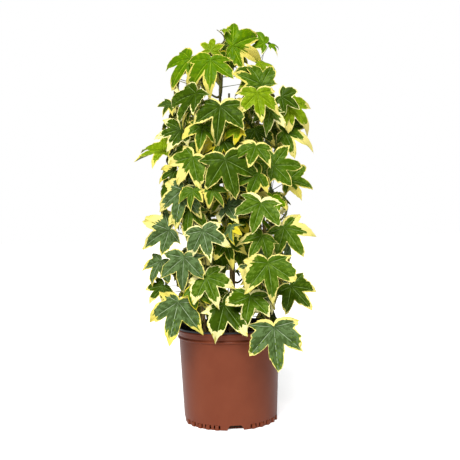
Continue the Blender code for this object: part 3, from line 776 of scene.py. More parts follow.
def star_outline(turns, leaf, looks):
    """How far a leaf reaches at each angle, in middle-lobe lengths: bays between pointed lobes."""
    degrees = np.degrees(turns)
    total = np.zeros(len(turns))
    last_angle = LOBES[-1][0]
    for angle, size in [(-angle, size) for angle, size in LOBES[1:]] + list(LOBES):
        off = np.abs(degrees - angle)
        fall = np.full(len(turns), looks.uniform(*BAY_FALLS))
        side = np.abs(degrees) - abs(angle)
        toward_web = side > 0 if abs(angle) < last_angle else side < 0
        if angle:
            fall[toward_web] = WEB_FALLS[abs(angle)] * looks.uniform(*WEB_VARIES)
        lobe = 1 - TIP_PROUD - fall * (off / LOBE_HALF) ** LOBE_ROUND
        lobe += TIP_PROUD * np.exp(-off / TIP_TURN)
        if abs(angle) == last_angle:
            past = np.clip(side / (180 - last_angle), 0, 1)
            ear = NOTCH_FALL * past ** looks.uniform(*EAR_POINTS)
            behind = 1 - TIP_PROUD * (1 - np.exp(-off / TIP_TURN)) - ear
            lobe = np.where((past > 0) & (degrees * angle > 0), behind, lobe)
        skew = 1 + leaf["skew"] * angle / last_angle
        total += np.clip(lobe * size * skew * looks.uniform(*LOBE_SIZES), REACH_LEAST, None) ** BAY_SMOOTH
    reach = total ** (1 / BAY_SMOOTH)
    teeth = np.array([looks.uniform(0, 1) ** 3 for _ in turns]) * EDGE_JAG
    return reach * (1 - teeth + EDGE_RIPPLE * mixed_waves(turns, EDGE_WAVES, looks))


def mixed_waves(turns, counts, looks):
    """Waves round a leaf, one of each count, each from a chance start."""
    return sum(np.sin(count * turns + looks.uniform(0, math.tau)) for count in counts)


def cream_edge(turns, leaf, looks):
    """The share of each column that is green: the cream edge is thin, and wide on one side and behind."""
    waves = sum(size * mixed_waves(turns, counts, looks) for size, counts in CREAM_WAVES)
    width = np.clip(leaf["cream"] * (1 + waves), CREAM_LEAST, None)
    off = np.angle(np.exp(1j * (turns - math.radians(leaf["cream_turn"]))))
    wide = leaf["cream_width"] * np.exp(-(off / math.radians(CREAM_SPREAD)) ** 2)
    behind = np.clip((np.abs(turns) - math.radians(EAR_START)) / math.radians(EAR_SPREAD), 0, 1)
    wide = np.maximum(wide, leaf["ears"] * behind * (1 + EAR_WAVE * np.sin(turns + leaf["phase"])))
    off_lobe = np.min([np.abs(np.abs(np.degrees(turns)) - angle) for angle, _ in LOBES], axis=0)
    tips = leaf["tips"] * np.exp(-(off_lobe / TIP_SPREAD) ** 2)
    jags = np.array([looks.uniform(0, 1) ** 2 for _ in turns]) * (CREAM_JAG + JAG_SHARE * (wide + tips))
    return 1 - np.clip(width + wide + tips + jags, CREAM_LEAST, CREAM_MOST)


def lobe_frame(turns, reach):
    """Each place by the nearest main vein: how far along it and how far off it."""
    veins = np.radians([-angle for angle, _ in LOBES[:0:-1]] + [angle for angle, _ in LOBES])
    off = (turns[:, None] - veins)[range(len(turns)), np.abs(turns[:, None] - veins).argmin(axis=1)]
    return reach * np.cos(off), reach * np.abs(np.sin(off))


def side_veins(turns, reach, leaf):
    """Waves that peak along the side veins, which leave each main vein at a slant."""
    along, across = lobe_frame(turns, reach)
    return np.cos(math.tau * (along - SIDE_SLANT * across) / SIDE_SPACING + leaf["phase"])


def pale_faces(turns, reach, rings, leaf, looks):
    """Which faces of a leaf are paler: the side veins, and soft patches that grow towards the edge."""
    flat_along, flat_across = np.cos(turns) * reach, np.sin(turns) * reach
    cloud = np.zeros(reach.shape)
    for _ in range(PATCH_WAVES):
        pull = PATCH_FINE * looks.uniform(*PATCH_VARIES)
        way = looks.uniform(0, math.tau)
        run = flat_along * math.cos(way) + flat_across * math.sin(way)
        cloud += np.sin(pull * run + looks.uniform(0, math.tau))
    chance = np.array([looks.uniform(-1, 1) for _ in range(reach.size)]).reshape(reach.shape)
    tone = cloud / PATCH_WAVES ** 0.5 + PATCH_GRAIN * chance + PATCH_OUT * (rings - PATCH_MIDDLE)
    tone += PATCH_VEIN * side_veins(turns, reach, leaf)
    return tone > np.quantile(tone, leaf["dark"])


def leaf_height(turns, reach, leaf, looks):
    """How far the blade stands over its plane: the source's drape, and each lobe's own curl and ripple."""
    off = np.min([np.abs(np.abs(np.degrees(turns)) - angle) for angle, _ in LOBES], axis=0)
    height = FOLD * reach * np.minimum(off / LOBE_HALF, 1) + leaf["cup"] * reach * np.abs(np.sin(turns))
    height += WAVE * reach * np.sin(3 * turns + leaf["phase"])
    height -= DROOP * leaf["droop"] * reach ** 2
    height -= CREASE * np.sqrt(reach) * np.exp(-(off / CREASE_WIDTH) ** 2)
    for angle, _ in [(-angle, size) for angle, size in LOBES[1:]] + list(LOBES):
        near = np.clip(1 - (np.degrees(turns) - angle) ** 2 / (LOBE_HALF * CURL_SPREAD) ** 2, 0, 1)
        height += looks.gauss(0, LOBE_CURL) * near * reach ** 2
        height -= abs(looks.gauss(0, TIP_CURL)) * near * reach ** 5
    height -= QUILT * np.sqrt(reach) * side_veins(turns, reach, leaf)
    height += EDGE_WAVE * reach ** 3 * np.sin(6 * turns + looks.uniform(0, math.tau))
    return height


def star_leaf(leaf, looks):
    """One leaf: corner places, faces of four and of three corners, and a finish for each face."""
    fine = leaf["length"] > FINE_LENGTH and not leaf.get("inner")
    turns, sides = leaf_columns(FINE_STEPS if fine else PLAIN_STEPS)
    inner = (FRONT_RINGS if leaf.get("front") else FINE_RINGS) if fine else PLAIN_RINGS
    outline = star_outline(turns, leaf, looks)
    green = cream_edge(turns, leaf, looks)
    rings = [green * (k + 1) / inner for k in range(inner)]
    rings += [green + (1 - green) * share for share in EDGE_RINGS]
    rings = np.array(rings)
    reach = rings * outline
    across = sides * np.minimum(VEIN_WIDTH * (1 - VEIN_TAPER * rings), VEIN_MOST * reach)
    lean = turns + math.radians(LOBE_LEAN) * np.sin(turns + leaf["phase"])
    flat_along = np.cos(lean) * reach - np.sin(turns) * across
    flat_across = np.sin(lean) * reach + np.cos(turns) * across
    height = leaf_height(turns, reach, leaf, looks)
    half = LEAF_THICK / leaf["length"] / 2 * (1 - rings ** 4)
    axes = np.array([leaf["midrib"], leaf["face"].cross(leaf["midrib"]), leaf["face"]])
    count, columns = rings.shape
    start = np.array([[0, 0, LEAF_THICK / leaf["length"] / 2], [0, 0, -LEAF_THICK / leaf["length"] / 2]])
    top = np.stack([flat_along, flat_across, height + half], axis=-1)
    kept = list(range(UNDER_EVERY - 1, len(rings) - 1, UNDER_EVERY))
    under = np.stack([flat_along, flat_across, height - half], axis=-1)[kept]
    corners = np.concatenate([start, top.reshape(-1, 3), under.reshape(-1, 3)])
    corners = corners @ axes * leaf["length"] + np.array(leaf["base"])

    here = np.arange(columns)
    after = (here + 1) % columns
    vein = (sides < 0) & (sides[after] > 0)
    fans, quads, fan_looks, quad_looks = [], [], [], []
    dark = "leaf_" + leaf["green"]
    tones = np.where(pale_faces(turns, reach, rings, leaf, looks), dark + "_pale", dark)
    tones[:, vein] = GREENS[leaf["green"]][2]
    tones[inner:] = leaf["cream_look"]
    rim = 2 + (count - 1) * columns
    tops = [2 + ring * columns for ring in range(count)]
    unders = [rim + (k + 1) * columns for k in range(len(kept))] + [rim]
    for face_up, rows in ((True, tops), (False, unders)):
        fan = (0, rows[0] + here, rows[0] + after) if face_up else (1, rows[0] + after, rows[0] + here)
        fans.append(np.stack(np.broadcast_arrays(*fan), -1))
        fan_looks.append(tones[0] if face_up else np.full(columns, UNDERSIDE_WITH_GLOW))
        for ring, (low, high) in enumerate(zip(rows, rows[1:]), 1):
            four = (low + here, high + here, high + after, low + after)
            quads.append(np.stack(four if face_up else four[::-1], -1))
            under = UNDER_CREAM_WITH_GLOW if high == rim else UNDERSIDE_WITH_GLOW
            quad_looks.append(tones[ring] if face_up else np.full(columns, under))
    return (corners, *(np.concatenate(part) for part in (quads, fans, quad_looks, fan_looks)))


def linear(colour):
    """An sRGB hex colour as the linear values that a shader's socket takes."""
    parts = [int(colour[k:k + 2], 16) / 255 for k in (1, 3, 5)]
    return [part / 12.92 if part <= 0.04045 else ((part + 0.055) / 1.055) ** 2.4 for part in parts] + [1.0]


def finish(name, colour, roughness, **more):
    """A material named for what it is, with its plain values on the shader's own sockets."""
    made = bpy.data.materials.new(name)
    made.use_nodes = True
    shader = made.node_tree.nodes["Principled BSDF"]
    shader.inputs["Base Color"].default_value = linear(colour)
    shader.inputs["Roughness"].default_value = roughness
    for socket, value in more.items():
        shader.inputs[socket.replace("_", " ")].default_value = value
    return made


def add_node(made, kind, settings=None, **inputs):
    """A shader node with its settings, and with values or other nodes' outputs on its inputs."""
    node = made.node_tree.nodes.new(kind)
    for name, value in (settings or {}).items():
        setattr(node, name, value)
    for name, value in inputs.items():
        socket = node.inputs[int(name[3:])] if name.startswith("in_") else node.inputs[name.replace("_", " ")]
        if isinstance(value, bpy.types.NodeSocket):
            made.node_tree.links.new(value, socket)
        else:
            socket.default_value = value
    return node


def set_shader(made, **sources):
    """Lead other nodes' outputs to the shader's sockets."""
    shader = made.node_tree.nodes["Principled BSDF"]
    for name, source in sources.items():
        made.node_tree.links.new(source, shader.inputs[name.replace("_", " ")])


def smooth_path(points, count):
    """More points on a smooth line through all the given ones."""
    ends = [points[0] * 2 - points[1]] + list(points) + [points[-1] * 2 - points[-2]]
    path = []
    for k in range(len(points) - 1):
        before, start, stop, after = ends[k:k + 4]
        for step in range(count):
            t = step / count
            curve = 2 * start + (stop - before) * t
            curve += (2 * before - 5 * start + 4 * stop - after) * t * t
            curve += (3 * start - before - 3 * stop + after) * t ** 3
            path.append(0.5 * curve)
    path.append(points[-1])
    return path


def tube(path, radii, sides):
    """A round limb's corners and faces as arrays, closed at both ends."""
    corners, faces = limb(path, radii, sides)
    return np.array(corners), np.array([face for face in faces if len(face) == 4]), faces[-2:]


def new_piece(name, corners, quads, triangles=(), ends=()):
    """A mesh piece from arrays of corners and faces."""
    faces = [tuple(face) for group in (quads, triangles, ends) for face in group]
    mesh = bpy.data.meshes.new(name)
    mesh.from_pydata(corners.tolist(), [], faces)
    piece = bpy.data.objects.new(name, mesh)
    bpy.context.scene.collection.objects.link(piece)
    mesh.shade_smooth()
    return piece


def coat(piece, made, sharp):
    """One finish and smooth shading over a piece, whose edges past an angle stay sharp."""
    piece.data.materials.clear()
    piece.data.materials.append(made)
    piece.data.shade_smooth()
    piece.data.set_sharp_from_angle(angle=math.radians(sharp))


def join_shapes(shapes):
    """Several shapes of corners, quads and triangles as one."""
    moved = []
    count = 0
    for corners, quads, triangles, *tones in shapes:
        moved.append((corners, quads + count, triangles + count, *tones))
        count += len(corners)
    return [np.concatenate(part) for part in zip(*moved)]


def dress_leaf(leaf, looks):
    """Give a leaf its green and its cream edge by rule, where its row doesn't say."""
    height = np.clip((leaf["base"].z - GREEN_FOOT) / GREEN_RISE, 0, 1)
    weights = [between(foot, head, height) for *_, foot, head in GREENS.values()]
    green = looks.choices(list(GREENS), weights)[0]
    if leaf.get("young"):
        green = "young"
    if leaf.get("inner"):
        leaf["cream_width"] = looks.uniform(*INNER_CREAM)
        green = "green" if leaf["base"].z > GREY_TOP else green
    leaf.setdefault("green", green)
    leaf.setdefault("cream_turn", looks.uniform(-180, 180))
    leaf.setdefault("cream_width", looks.uniform(*CREAM_WIDE))
    leaf["cream"] = looks.uniform(*CREAM_WIDTHS)
    leaf.setdefault("ears", max(looks.uniform(*EARS), 0))
    leaf["tips"] = max(looks.uniform(*TIPS), 0)
    leaf["dark"] = GREENS[leaf["green"]][3] + looks.uniform(-DARK_VARIES, DARK_VARIES)
    # leaves inside the crown mostly take the cream with painted shade and painted light shining through it
    creams = INNER_CREAMS if leaf.get("inner") else CREAMS
    leaf["cream_look"] = looks.choices(list(creams), creams.values())[0]


def make_leaves(tier, leaves, finishes, nodes, looks):
    """All the leaves of a tier of shoots as one piece."""
    shapes = []
    for leaf in leaves:
        dress_leaf(leaf, looks)
        shapes.append(star_leaf(leaf, looks))
    corners, quads, triangles, quad_looks, triangle_looks = join_shapes(shapes)
    piece = new_piece(f"leaves_{tier}", corners, quads, triangles)
    names = sorted(finishes)
    for name in names:
        piece.data.materials.append(finishes[name])
    shown = np.searchsorted(names, np.concatenate([quad_looks, triangle_looks]))
    piece.data.polygons.foreach_set("material_index", shown.astype(np.int32))
    piece.data.set_sharp_from_angle(angle=math.radians(LEAF_SHARP))
    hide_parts(*nodes)
    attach(piece, "root")


def make_tubes(name, limbs, sides, made):
    """Round limbs, each a path and its radii, joined as one piece."""
    corners, quads, ends, count = [], [], [], 0
    for path, radii in limbs:
        points, sides_faces, caps = tube(path, radii, sides)
        corners.append(points)
        quads.append(sides_faces + count)
        ends += [tuple(corner + count for corner in cap) for cap in caps]
        count += len(points)
    piece = new_piece(name, np.concatenate(corners), np.concatenate(quads), (), ends)
    coat(piece, made, LIMB_SHARP)
    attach(piece, "root")


def stalk_limb(leaf):
    """A leaf's stalk: it swells where it leaves the shoot, thins, and spreads again under the leaf."""
    points = leaf["stalk"]
    if len(points) > 3:
        points = points[:-2] + [leaf["base"] - leaf["face"] * LEAF_THICK]
    path = smooth_path(points, STALK_DETAIL)
    last = len(path) - 1
    size = (leaf["length"] / STALK_USUAL) ** 0.5
    radii = []
    for k in range(len(path)):
        share = k / last
        radii.append(size * (STALK_THIN + STALK_FOOT * (1 - share) ** 6 + STALK_HEAD * share ** 8))
    return path, radii


def body_radius(height):
    """The pot's outer radius at a height under its collar."""
    top = RIM_RADIUS - COLLAR_STEP - COLLAR_DRAFT - BODY_STEP
    return between(BASE_RADIUS, top, height / (POT_HEIGHT - COLLAR_HEIGHT))


def arc(radius, height, size, start, stop, count):
    """Points of a profile on a round stretch, with its angles in degrees up from straight out."""
    turns = [math.radians(between(start, stop, k / count)) for k in range(count + 1)]
    return [(radius + size * math.cos(turn), height + size * math.sin(turn)) for turn in turns]


def turn_piece(name, profile):
    """A turned piece: one corner is drawn out along the profile and spun round the pot's axis."""
    bpy.ops.object.select_all(action="DESELECT")
    bpy.ops.mesh.primitive_plane_add(size=WALL)
    piece = bpy.context.object
    piece.name = name
    piece.data.name = name
    bpy.ops.object.mode_set(mode="EDIT")
    bpy.ops.mesh.merge(type="CENTER")
    bpy.ops.transform.translate(value=(profile[0][0], 0, profile[0][1]))
    for (radius, height), (next_radius, next_height) in zip(profile, profile[1:]):
        move = (next_radius - radius, 0, next_height - height)
        bpy.ops.mesh.extrude_vertices_move(TRANSFORM_OT_translate={"value": move})
    bpy.ops.mesh.select_all(action="SELECT")
    bpy.ops.mesh.spin(steps=POT_STEPS, angle=math.tau, center=(0, 0, 0), axis=(0, 0, 1))
    bpy.ops.mesh.select_all(action="SELECT")
    bpy.ops.mesh.remove_doubles(threshold=0.00001)
    bpy.ops.mesh.normals_make_consistent(inside=False)
    bpy.ops.object.mode_set(mode="OBJECT")
    return piece


def foot_block(name, width, head, height, inner, outer, lift, round_share):
    """A block on the pot's foot that narrows from foot to head, its upper corners rounded."""
    bpy.ops.object.select_all(action="DESELECT")
    middle = (0, -(inner + outer) / 2, lift + height / 2)
    bpy.ops.mesh.primitive_cube_add(size=1, location=middle, scale=(width, outer - inner, height))
    bpy.ops.object.transform_apply(location=True, rotation=False, scale=True)
    block = bpy.context.object
    block.name = name
    bpy.ops.object.mode_set(mode="EDIT")
    bpy.ops.mesh.select_all(action="DESELECT")
    bpy.ops.object.mode_set(mode="OBJECT")
    for face in block.data.polygons:
        face.select = face.normal.z > 0.9
    bpy.ops.object.mode_set(mode="EDIT")
    bpy.ops.transform.resize(value=(head / width, 1, 1))
    bpy.ops.mesh.select_all(action="DESELECT")
    bpy.ops.object.mode_set(mode="OBJECT")
    points = block.data.vertices
    for edge in block.data.edges:
        ends = [points[corner].co for corner in edge.vertices]
        edge.select = min(end.z for end in ends) > lift + height / 2 and abs(ends[0].x - ends[1].x) < head / 2
    bpy.ops.object.mode_set(mode="EDIT")
    bpy.ops.mesh.select_mode(type="EDGE")
    bpy.ops.mesh.bevel(offset=min(head, height) * round_share, segments=5, affect="EDGES")
    bpy.ops.mesh.select_mode(type="VERT")
    bpy.ops.object.mode_set(mode="OBJECT")
    return block


def ring_of(block, bearings):
    """Copies of a block at each bearing round the pot, joined; the block itself goes."""
    bpy.ops.object.select_all(action="DESELECT")
    for bearing in bearings:
        copy = block.copy()
        copy.data = block.data.copy()
        copy.data.transform(Matrix.Rotation(math.radians(bearing), 4, "Z"))
        bpy.context.scene.collection.objects.link(copy)
        copy.select_set(True)
        bpy.context.view_layer.objects.active = copy
    bpy.data.objects.remove(block)
    bpy.ops.object.join()
    return bpy.context.object


def cut_or_join(piece, tool, operation):
    """Apply one Boolean with a tool, which then goes."""
    bpy.ops.object.select_all(action="DESELECT")
    bpy.context.view_layer.objects.active = piece
    piece.select_set(True)
    action = piece.modifiers.new("shape", "BOOLEAN")
    action.operation = operation
    action.solver = "MANIFOLD"
    action.object = tool
    bpy.ops.object.modifier_apply(modifier="shape")
    bpy.data.objects.remove(tool)


def make_pot(moulded, lining):
    """The nursery pot: a thin brown wall, beaded collar and ribbed foot, with a dark lip and lining."""
    lip_foot = POT_HEIGHT - LIP_HEIGHT
    collar_foot = lip_foot - COLLAR_HEIGHT
    collar_top = RIM_RADIUS - COLLAR_STEP
    collar_low = collar_top - COLLAR_DRAFT
    inner_top = RIM_RADIUS - WALL
    inner_step = body_radius(collar_foot) - WALL
    seam = LINING - CLEAR / 3
    profile = [(0, FLOOR), (body_radius(FLOOR) - WALL + seam, FLOOR), (inner_step + seam, collar_foot)]
    profile += [(inner_top + seam - BEAD, lip_foot), (collar_top, lip_foot)]
    # the collar: an upper bead, a groove, and a lower bead that stands over the body
    profile += arc(collar_top - RIDGE / 2, lip_foot - RIDGE, RIDGE, 55, -55, 8)
    profile += [(collar_top - BEAD, lip_foot - RIDGE * 2.1), (collar_low - BEAD, collar_foot + RIDGE * 2.8)]
    profile += [(collar_low - BEAD * 2, collar_foot + RIDGE * 2.2)]
    profile += arc(collar_low - RIDGE / 2, collar_foot + RIDGE, RIDGE, 60, -65, 8)
    profile += [(body_radius(collar_foot) - CLEAR * 2, collar_foot - RIDGE * 0.2)]
    levels = [between(collar_foot - RIDGE, BASE_ROUND, k / RIPPLES) for k in range(1, RIPPLES)]
    ripple = [RIPPLE * math.sin(k * RIPPLE_TURNS[0]) * math.sin(k * RIPPLE_TURNS[1]) for k in range(RIPPLES)]
    profile += [(body_radius(level) + swell, level) for level, swell in zip(levels, ripple)]
    profile += arc(body_radius(BASE_ROUND) - BASE_ROUND, BASE_ROUND, BASE_ROUND, 0, -80, 5)
    profile += [(BASE_RADIUS - BASE_ROUND * 2, 0), (0, 0)]
    pot = turn_piece("pot_wall", profile)

    quarter = 360 / NOTCHES
    notches = [NOTCH_BEARING + notch * quarter for notch in range(NOTCHES)]
    places = [(rib - (RIBS_BETWEEN - 1) / 2) * RIB_SPACING for rib in range(RIBS_BETWEEN)]
    ribs = [notch + quarter / 2 + place for notch in notches for place in places]
    rib = foot_block("rib", RIB_WIDTH, RIB_WIDTH * RIB_TAPER, RIB_HEIGHT, BASE_RADIUS - WALL / 2,
                     BASE_RADIUS + RIB_STEP, BASE_ROUND / 3, RIB_CORNER)
    cut_or_join(pot, ring_of(rib, ribs), "UNION")
    slot_turn = math.degrees((RIB_WIDTH / 2 + SLOT_WIDTH / 2) / BASE_RADIUS)
    slot = foot_block("slot", SLOT_WIDTH, SLOT_WIDTH * SLOT_TAPER, RIB_HEIGHT, BASE_RADIUS - SLOT_DEPTH,
                      BASE_RADIUS + WALL * 2, BASE_ROUND / 2, SLOT_CORNER)
    slots = [turn + side * slot_turn for turn in ribs for side in (-1, 1)]
    cut_or_join(pot, ring_of(slot, slots), "DIFFERENCE")
    notch = foot_block("notch", NOTCH_FOOT, NOTCH_HEAD, NOTCH_HEIGHT + WALL, BASE_RADIUS - NOTCH_DEPTH,
                       BASE_RADIUS + WALL * 4, -WALL, NOTCH_CORNER)
    cut_or_join(pot, ring_of(notch, notches), "DIFFERENCE")

    ring_foot = SOIL_LEVEL - LINING_DEPTH
    inside = body_radius(ring_foot) - WALL
    profile = [(inside, ring_foot), (inner_step, collar_foot), (inner_top - BEAD, lip_foot)]
    profile += arc(inner_top + BEAD * 0.7, POT_HEIGHT - BEAD * 0.9, BEAD * 0.9, 175, 90, 4)
    profile += arc(RIM_RADIUS - BEAD, POT_HEIGHT - BEAD, BEAD, 90, 0, 4)
    profile += [(RIM_RADIUS, lip_foot + CLEAR), (RIM_RADIUS - CLEAR, lip_foot)]
    profile += [(inner_top + LINING, lip_foot + CLEAR / 3), (inner_step + LINING, collar_foot)]
    profile += [(inside + LINING, ring_foot), (inside, ring_foot)]
    ring = turn_piece("pot_lining", profile)
    for piece, made in ((pot, moulded), (ring, lining)):
        coat(piece, made, POT_SHARP)
        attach(piece, "root")
    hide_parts("pot")


def make_soil(mix, chips, looks):
    """The potting mix: a lumpy top within the pot, with chips of bark strewn and pressed into it."""
    gap = WALL + CLEAR * 1.5
    edge = body_radius(SOIL_LEVEL) - gap
    profile = [(edge * (k / SOIL_RINGS), SOIL_LEVEL - CHIP_LENGTH / 4) for k in range(SOIL_RINGS)]
    profile += [(edge, SOIL_LEVEL - CHIP_LENGTH / 3), (body_radius(SOIL_SHOULDER) - gap, SOIL_SHOULDER)]
    profile += [(SOIL_FOOT_RADIUS, SOIL_FOOT_HEIGHT), (SOIL_FOOT_RADIUS, FLOOR + CLEAR), (0, FLOOR + CLEAR)]
    soil = turn_piece("soil_body", profile)
    for corner in soil.data.vertices:
        if corner.co.z > SOIL_LEVEL - CHIP_LENGTH / 3.5:
            lump = noise.noise(corner.co / SOIL_LUMP) + 0.5 * noise.noise(corner.co / SOIL_LUMP * 3)
            corner.co.z += lump * CHIP_LENGTH / 8
    coat(soil, mix, SOIL_SHARP)
    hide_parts("soil")

    bpy.ops.object.select_all(action="DESELECT")
    bpy.ops.mesh.primitive_cube_add(size=1, scale=CHIP_SHAPE)
    bpy.ops.object.transform_apply(location=False, rotation=False, scale=True)
    chip = bpy.context.object
    bpy.ops.object.mode_set(mode="EDIT")
    bpy.ops.mesh.bevel(offset=CHIP_BEVEL, segments=1, affect="EDGES")
    bpy.ops.object.mode_set(mode="OBJECT")
    shape = np.array([corner.co for corner in chip.data.vertices])
    faces = [list(face.vertices) for face in chip.data.polygons]
    bpy.data.objects.remove(chip)
    corners, chip_faces = [], []
    for _ in range(CHIP_COUNT):
        turn = Matrix.Rotation(looks.uniform(0, math.tau), 3, "Z")
        roll = Matrix.Rotation(looks.gauss(0, CHIP_ROLL), 3, "X")
        turn @= roll @ Matrix.Rotation(looks.gauss(0, CHIP_PITCH), 3, "Y")
        rough = np.array([looks.uniform(*CHIP_ROUGH) for _ in shape])[:, None]
        size = CHIP_LENGTH * looks.uniform(*CHIP_SIZES)
        away = (edge - size) * looks.uniform(0, 1) ** 0.5
        bearing = looks.uniform(0, 360)
        depth = CHIP_LENGTH * looks.uniform(*CHIP_DEPTHS)
        middle = heading(bearing) * away + Vector((0, 0, SOIL_LEVEL - depth))
        start = len(corners) * len(shape)
        corners.append(shape * rough * size @ np.array(turn).T + np.array(middle))
        chip_faces += [[corner + start for corner in face] for face in faces]
    piece = new_piece("bark_chips", np.concatenate(corners), [], (), chip_faces)
    coat(piece, chips, CHIP_SHARP)
    for each in (soil, piece):
        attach(each, "root")


def make_cane(cane, bark):
    """A cane with its bark: long low ridges, and a ring wherever a leaf once stood."""
    path = smooth_path(cane["path"], CANE_DETAIL)
    last = len(path) - 1
    radii = [np.interp(k / CANE_DETAIL, range(len(cane["radii"])), cane["radii"]) for k in range(last + 1)]
    corners, quads, ends = tube(path, radii, CANE_FINE_SIDES)
    seed = [row[0] for row in CANES].index(cane["name"]) * CANE_APART
    shifts = [SCAR_SHIFT * SCAR_EVERY * math.sin(seed + k * SCAR_TURN) for k in range(SCAR_COUNT)]
    scars = [SCAR_FIRST + SCAR_EVERY * k + shift for k, shift in enumerate(shifts)]
    for k, middle in enumerate(path):
        height = middle.z - path[0].z
        ring = sum(math.exp(-((height - scar) / SCAR_WIDTH) ** 2) for scar in scars)
        for side in range(CANE_FINE_SIDES):
            index = k * CANE_FINE_SIDES + side
            out = Vector(corners[index]) - middle
            turn = math.tau * side / CANE_FINE_SIDES
            around = (math.cos(turn) * BARK_ROUND, math.sin(turn) * BARK_ROUND)
            place = Vector((*around, height / BARK_RIDGE + seed))
            relief = noise.noise(place) + 0.5 * noise.noise(place * BARK_FINE)
            corners[index] += np.array(out.normalized()) * (BARK_DEPTH * relief + SCAR_PROUD * ring)
    piece = new_piece(cane["name"] + "_bark", corners, quads, (), ends)
    piece.data.materials.append(bark)
    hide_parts(cane["name"])
    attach(piece, "root")


def moulded_plastic():
    """Polypropylene, blow moulded: an even brown with a soft shine.

    It is faintly clouded some 55 mm across, with flow lines round it 4.5 mm apart and a grain of 0.7 mm.
    """
    made = finish("moulded_polypropylene", "#7A3A22", 0.34, Specular_IOR_Level=0.2)
    place = add_node(made, "ShaderNodeTexCoord").outputs["Object"]
    cloud = add_node(made, "ShaderNodeTexNoise", Vector=place, Scale=18.0, Detail=3.0)
    colour = add_node(made, "ShaderNodeMix", {"data_type": "RGBA"}, in_0=cloud.outputs["Fac"],
                      in_6=linear("#6E331E"), in_7=linear("#7E4028"))
    flat = add_node(made, "ShaderNodeMapping", Vector=place, Scale=(0.02, 0.02, 1.0))
    lines = add_node(made, "ShaderNodeTexNoise", Vector=flat.outputs["Vector"], Scale=220.0, Detail=2.0)
    grain = add_node(made, "ShaderNodeTexNoise", Vector=place, Scale=1400.0, Detail=2.0)
    both = add_node(made, "ShaderNodeMath", {"operation": "MULTIPLY_ADD"}, in_0=lines.outputs["Fac"],
                    in_1=2.5, in_2=grain.outputs["Fac"])
    bump = add_node(made, "ShaderNodeBump", Strength=0.12, Distance=0.0002, Height=both.outputs["Value"])
    set_shader(made, Base_Color=colour.outputs[2], Normal=bump.outputs["Normal"])
    return made


def dark_plastic():
    """The pot's inner layer of black polypropylene: near black, with a grey sheen and a grain of 1 mm."""
    made = finish("black_polypropylene", "#26262A", 0.36)
    place = add_node(made, "ShaderNodeTexCoord").outputs["Object"]
    grain = add_node(made, "ShaderNodeTexNoise", Vector=place, Scale=900.0, Detail=2.0)
    bump = add_node(made, "ShaderNodeBump", Strength=0.1, Distance=0.0002, Height=grain.outputs["Fac"])
    set_shader(made, Normal=bump.outputs["Normal"])
    return made


def crumbly(name, dark, light, size, roughness):
    """Peat and bark, dried on top: brown crumbs of a given size, dull, with no two alike."""
    made = finish(name, dark, roughness)
    place = add_node(made, "ShaderNodeTexCoord").outputs["Object"]
    crumbs = add_node(made, "ShaderNodeTexVoronoi", Vector=place, Scale=1 / size)
    soft = add_node(made, "ShaderNodeTexNoise", Vector=place, Scale=0.5 / size, Detail=4.0)
    share = add_node(made, "ShaderNodeMath", {"operation": "MULTIPLY"}, in_0=crumbs.outputs["Distance"],
                     in_1=soft.outputs["Fac"])
    colour = add_node(made, "ShaderNodeMix", {"data_type": "RGBA"}, in_0=share.outputs["Value"],
                      in_6=linear(dark), in_7=linear(light))
    bump = add_node(made, "ShaderNodeBump", Strength=0.7, Distance=size / 2, Height=share.outputs["Value"])
    set_shader(made, Base_Color=colour.outputs[2], Normal=bump.outputs["Normal"])
    return made


def young_bark():
    """Bark of a young cane: tan and woody at the foot, green towards the top, with cracks 1.4 mm apart."""
    made = finish("young_bark", "#9A7A44", 0.68)
    place = add_node(made, "ShaderNodeTexCoord").outputs["Object"]
    height = add_node(made, "ShaderNodeSeparateXYZ", Vector=place).outputs["Z"]
    share = add_node(made, "ShaderNodeMapRange", Value=height, From_Min=0.25, From_Max=0.85)
    base = add_node(made, "ShaderNodeMix", {"data_type": "RGBA"}, in_0=share.outputs["Result"],
                    in_6=linear("#BC9A62"), in_7=linear("#7C7A34"))
    long = add_node(made, "ShaderNodeMapping", Vector=place, Scale=(1.0, 1.0, 0.12))
    cracks = add_node(made, "ShaderNodeTexNoise", Vector=long.outputs["Vector"], Scale=700.0, Detail=3.0)
    deep = add_node(made, "ShaderNodeMapRange", Value=cracks.outputs["Fac"], From_Min=0.35, From_Max=0.6)
    colour = add_node(made, "ShaderNodeMix", {"data_type": "RGBA"}, in_0=deep.outputs["Result"],
                      in_6=linear("#6C5430"), in_7=base.outputs[2])
    bump = add_node(made, "ShaderNodeBump", Strength=0.5, Distance=0.0004, Height=cracks.outputs["Fac"])
    set_shader(made, Base_Color=colour.outputs[2], Normal=bump.outputs["Normal"])
    return made


def seen_and_lit(made, seen, lit):
    """A strength that looks plain white to the camera and lights the plant at its own value."""
    path = add_node(made, "ShaderNodeLightPath")
    share = add_node(made, "ShaderNodeMapRange", Value=path.outputs["Is Camera Ray"], To_Min=lit, To_Max=seen)
    return share.outputs["Result"]


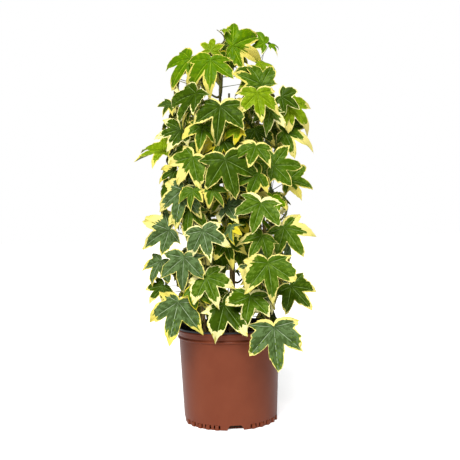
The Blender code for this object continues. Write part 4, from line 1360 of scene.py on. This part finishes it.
def make_stage():
    """The camera where the photograph was taken from, a plain pale floor and soft studio light."""
    scene = bpy.context.scene
    bpy.ops.object.select_all(action="DESELECT")
    bpy.ops.mesh.primitive_plane_add(size=FLOOR_SIZE)
    floor = bpy.context.object
    floor.name = "floor"
    paint = finish("matte_white_paint", "#F6F6F6", 0.9, Emission_Color=(1, 1, 1, 1))
    set_shader(paint, Emission_Strength=seen_and_lit(paint, FLOOR_SEEN, FLOOR_GLOW))
    floor.data.materials.append(paint)
    camera = bpy.data.objects.new("camera", bpy.data.cameras.new("camera"))
    camera.data.lens = CAMERA_LENS
    camera.location = CAMERA_PLACE
    camera.rotation_euler = (math.pi / 2, CAMERA_ROLL, 0)
    key = bpy.data.objects.new("key", bpy.data.lights.new("key", "SUN"))
    key.data.energy = KEY_STRENGTH
    key.data.angle = math.radians(KEY_SOFTNESS)
    key.rotation_euler = [math.radians(turn) for turn in KEY_TURN]
    for thing in (camera, key):
        scene.collection.objects.link(thing)
    scene.camera = camera
    world = bpy.data.worlds.new("white")
    world.use_nodes = True
    sky = world.node_tree.nodes["Background"]
    sky.inputs["Color"].default_value = (1, 1, 1, 1)
    world.node_tree.links.new(seen_and_lit(world, 1.0, WORLD_STRENGTH), sky.inputs["Strength"])
    scene.world = world
    scene.view_settings.view_transform = "Standard"


def main():
    """Grow the plant by the rule, then make its pieces, the pot and the stage."""
    looks = random.Random(SEED + 1)
    taken = []
    canes, shoots = grow_plant(taken)
    chance = random.Random(SEED + 2)
    for shoot in shoots:
        grow_twig(shoot, taken, chance)
    for _ in range(INNER_EACH):
        for shoot in shoots:
            grow_inner_leaf(shoot, taken, chance)

    leaf_finishes = {name: finish(name, colour, LEAF_ROUGHNESS, Specular_IOR_Level=LEAF_GLOSS)
                     for name, colour in LEAF_COLOURS.items()}
    for tier in [row[0] for row in TIERS] + ["tip"]:
        grown = [shoot for shoot in shoots if shoot["name"].split("_")[1] == tier]
        leaves = [leaf for shoot in grown for leaf in shoot["leaves"]]
        make_leaves(tier, leaves, leaf_finishes, [shoot["name"] for shoot in grown], looks)
    stalks = [stalk_limb(leaf) for shoot in shoots for leaf in shoot["leaves"]]
    skin = finish("leaf_stalk_skin", STALK_COLOUR, SKIN_ROUGHNESS)
    make_tubes("leaf_stalks", stalks, STALK_FINE_SIDES, skin)
    stems = []
    for shoot in shoots:
        for part, detail, radii in (("stem", STEM_DETAIL, SHOOT_RADII), ("twig", TWIG_DETAIL, TWIG_RADII)):
            if part in shoot:
                path = smooth_path(shoot[part], detail)
                stems.append((path, np.interp(range(len(path)), range(0, len(path), detail), radii)))
    skin = finish("shoot_skin", SHOOT_COLOUR, SKIN_ROUGHNESS)
    make_tubes("shoot_stems", stems, SHOOT_FINE_SIDES, skin)
    bark = young_bark()
    for cane in canes:
        make_cane(cane, bark)
    make_pot(moulded_plastic(), dark_plastic())
    make_soil(crumbly("peat_and_bark", "#2E1F15", "#6A4A30", 0.003, 0.95),
              crumbly("bark_chip", "#4A3020", "#A87C50", 0.004, 0.85), looks)
    make_stage()


main()
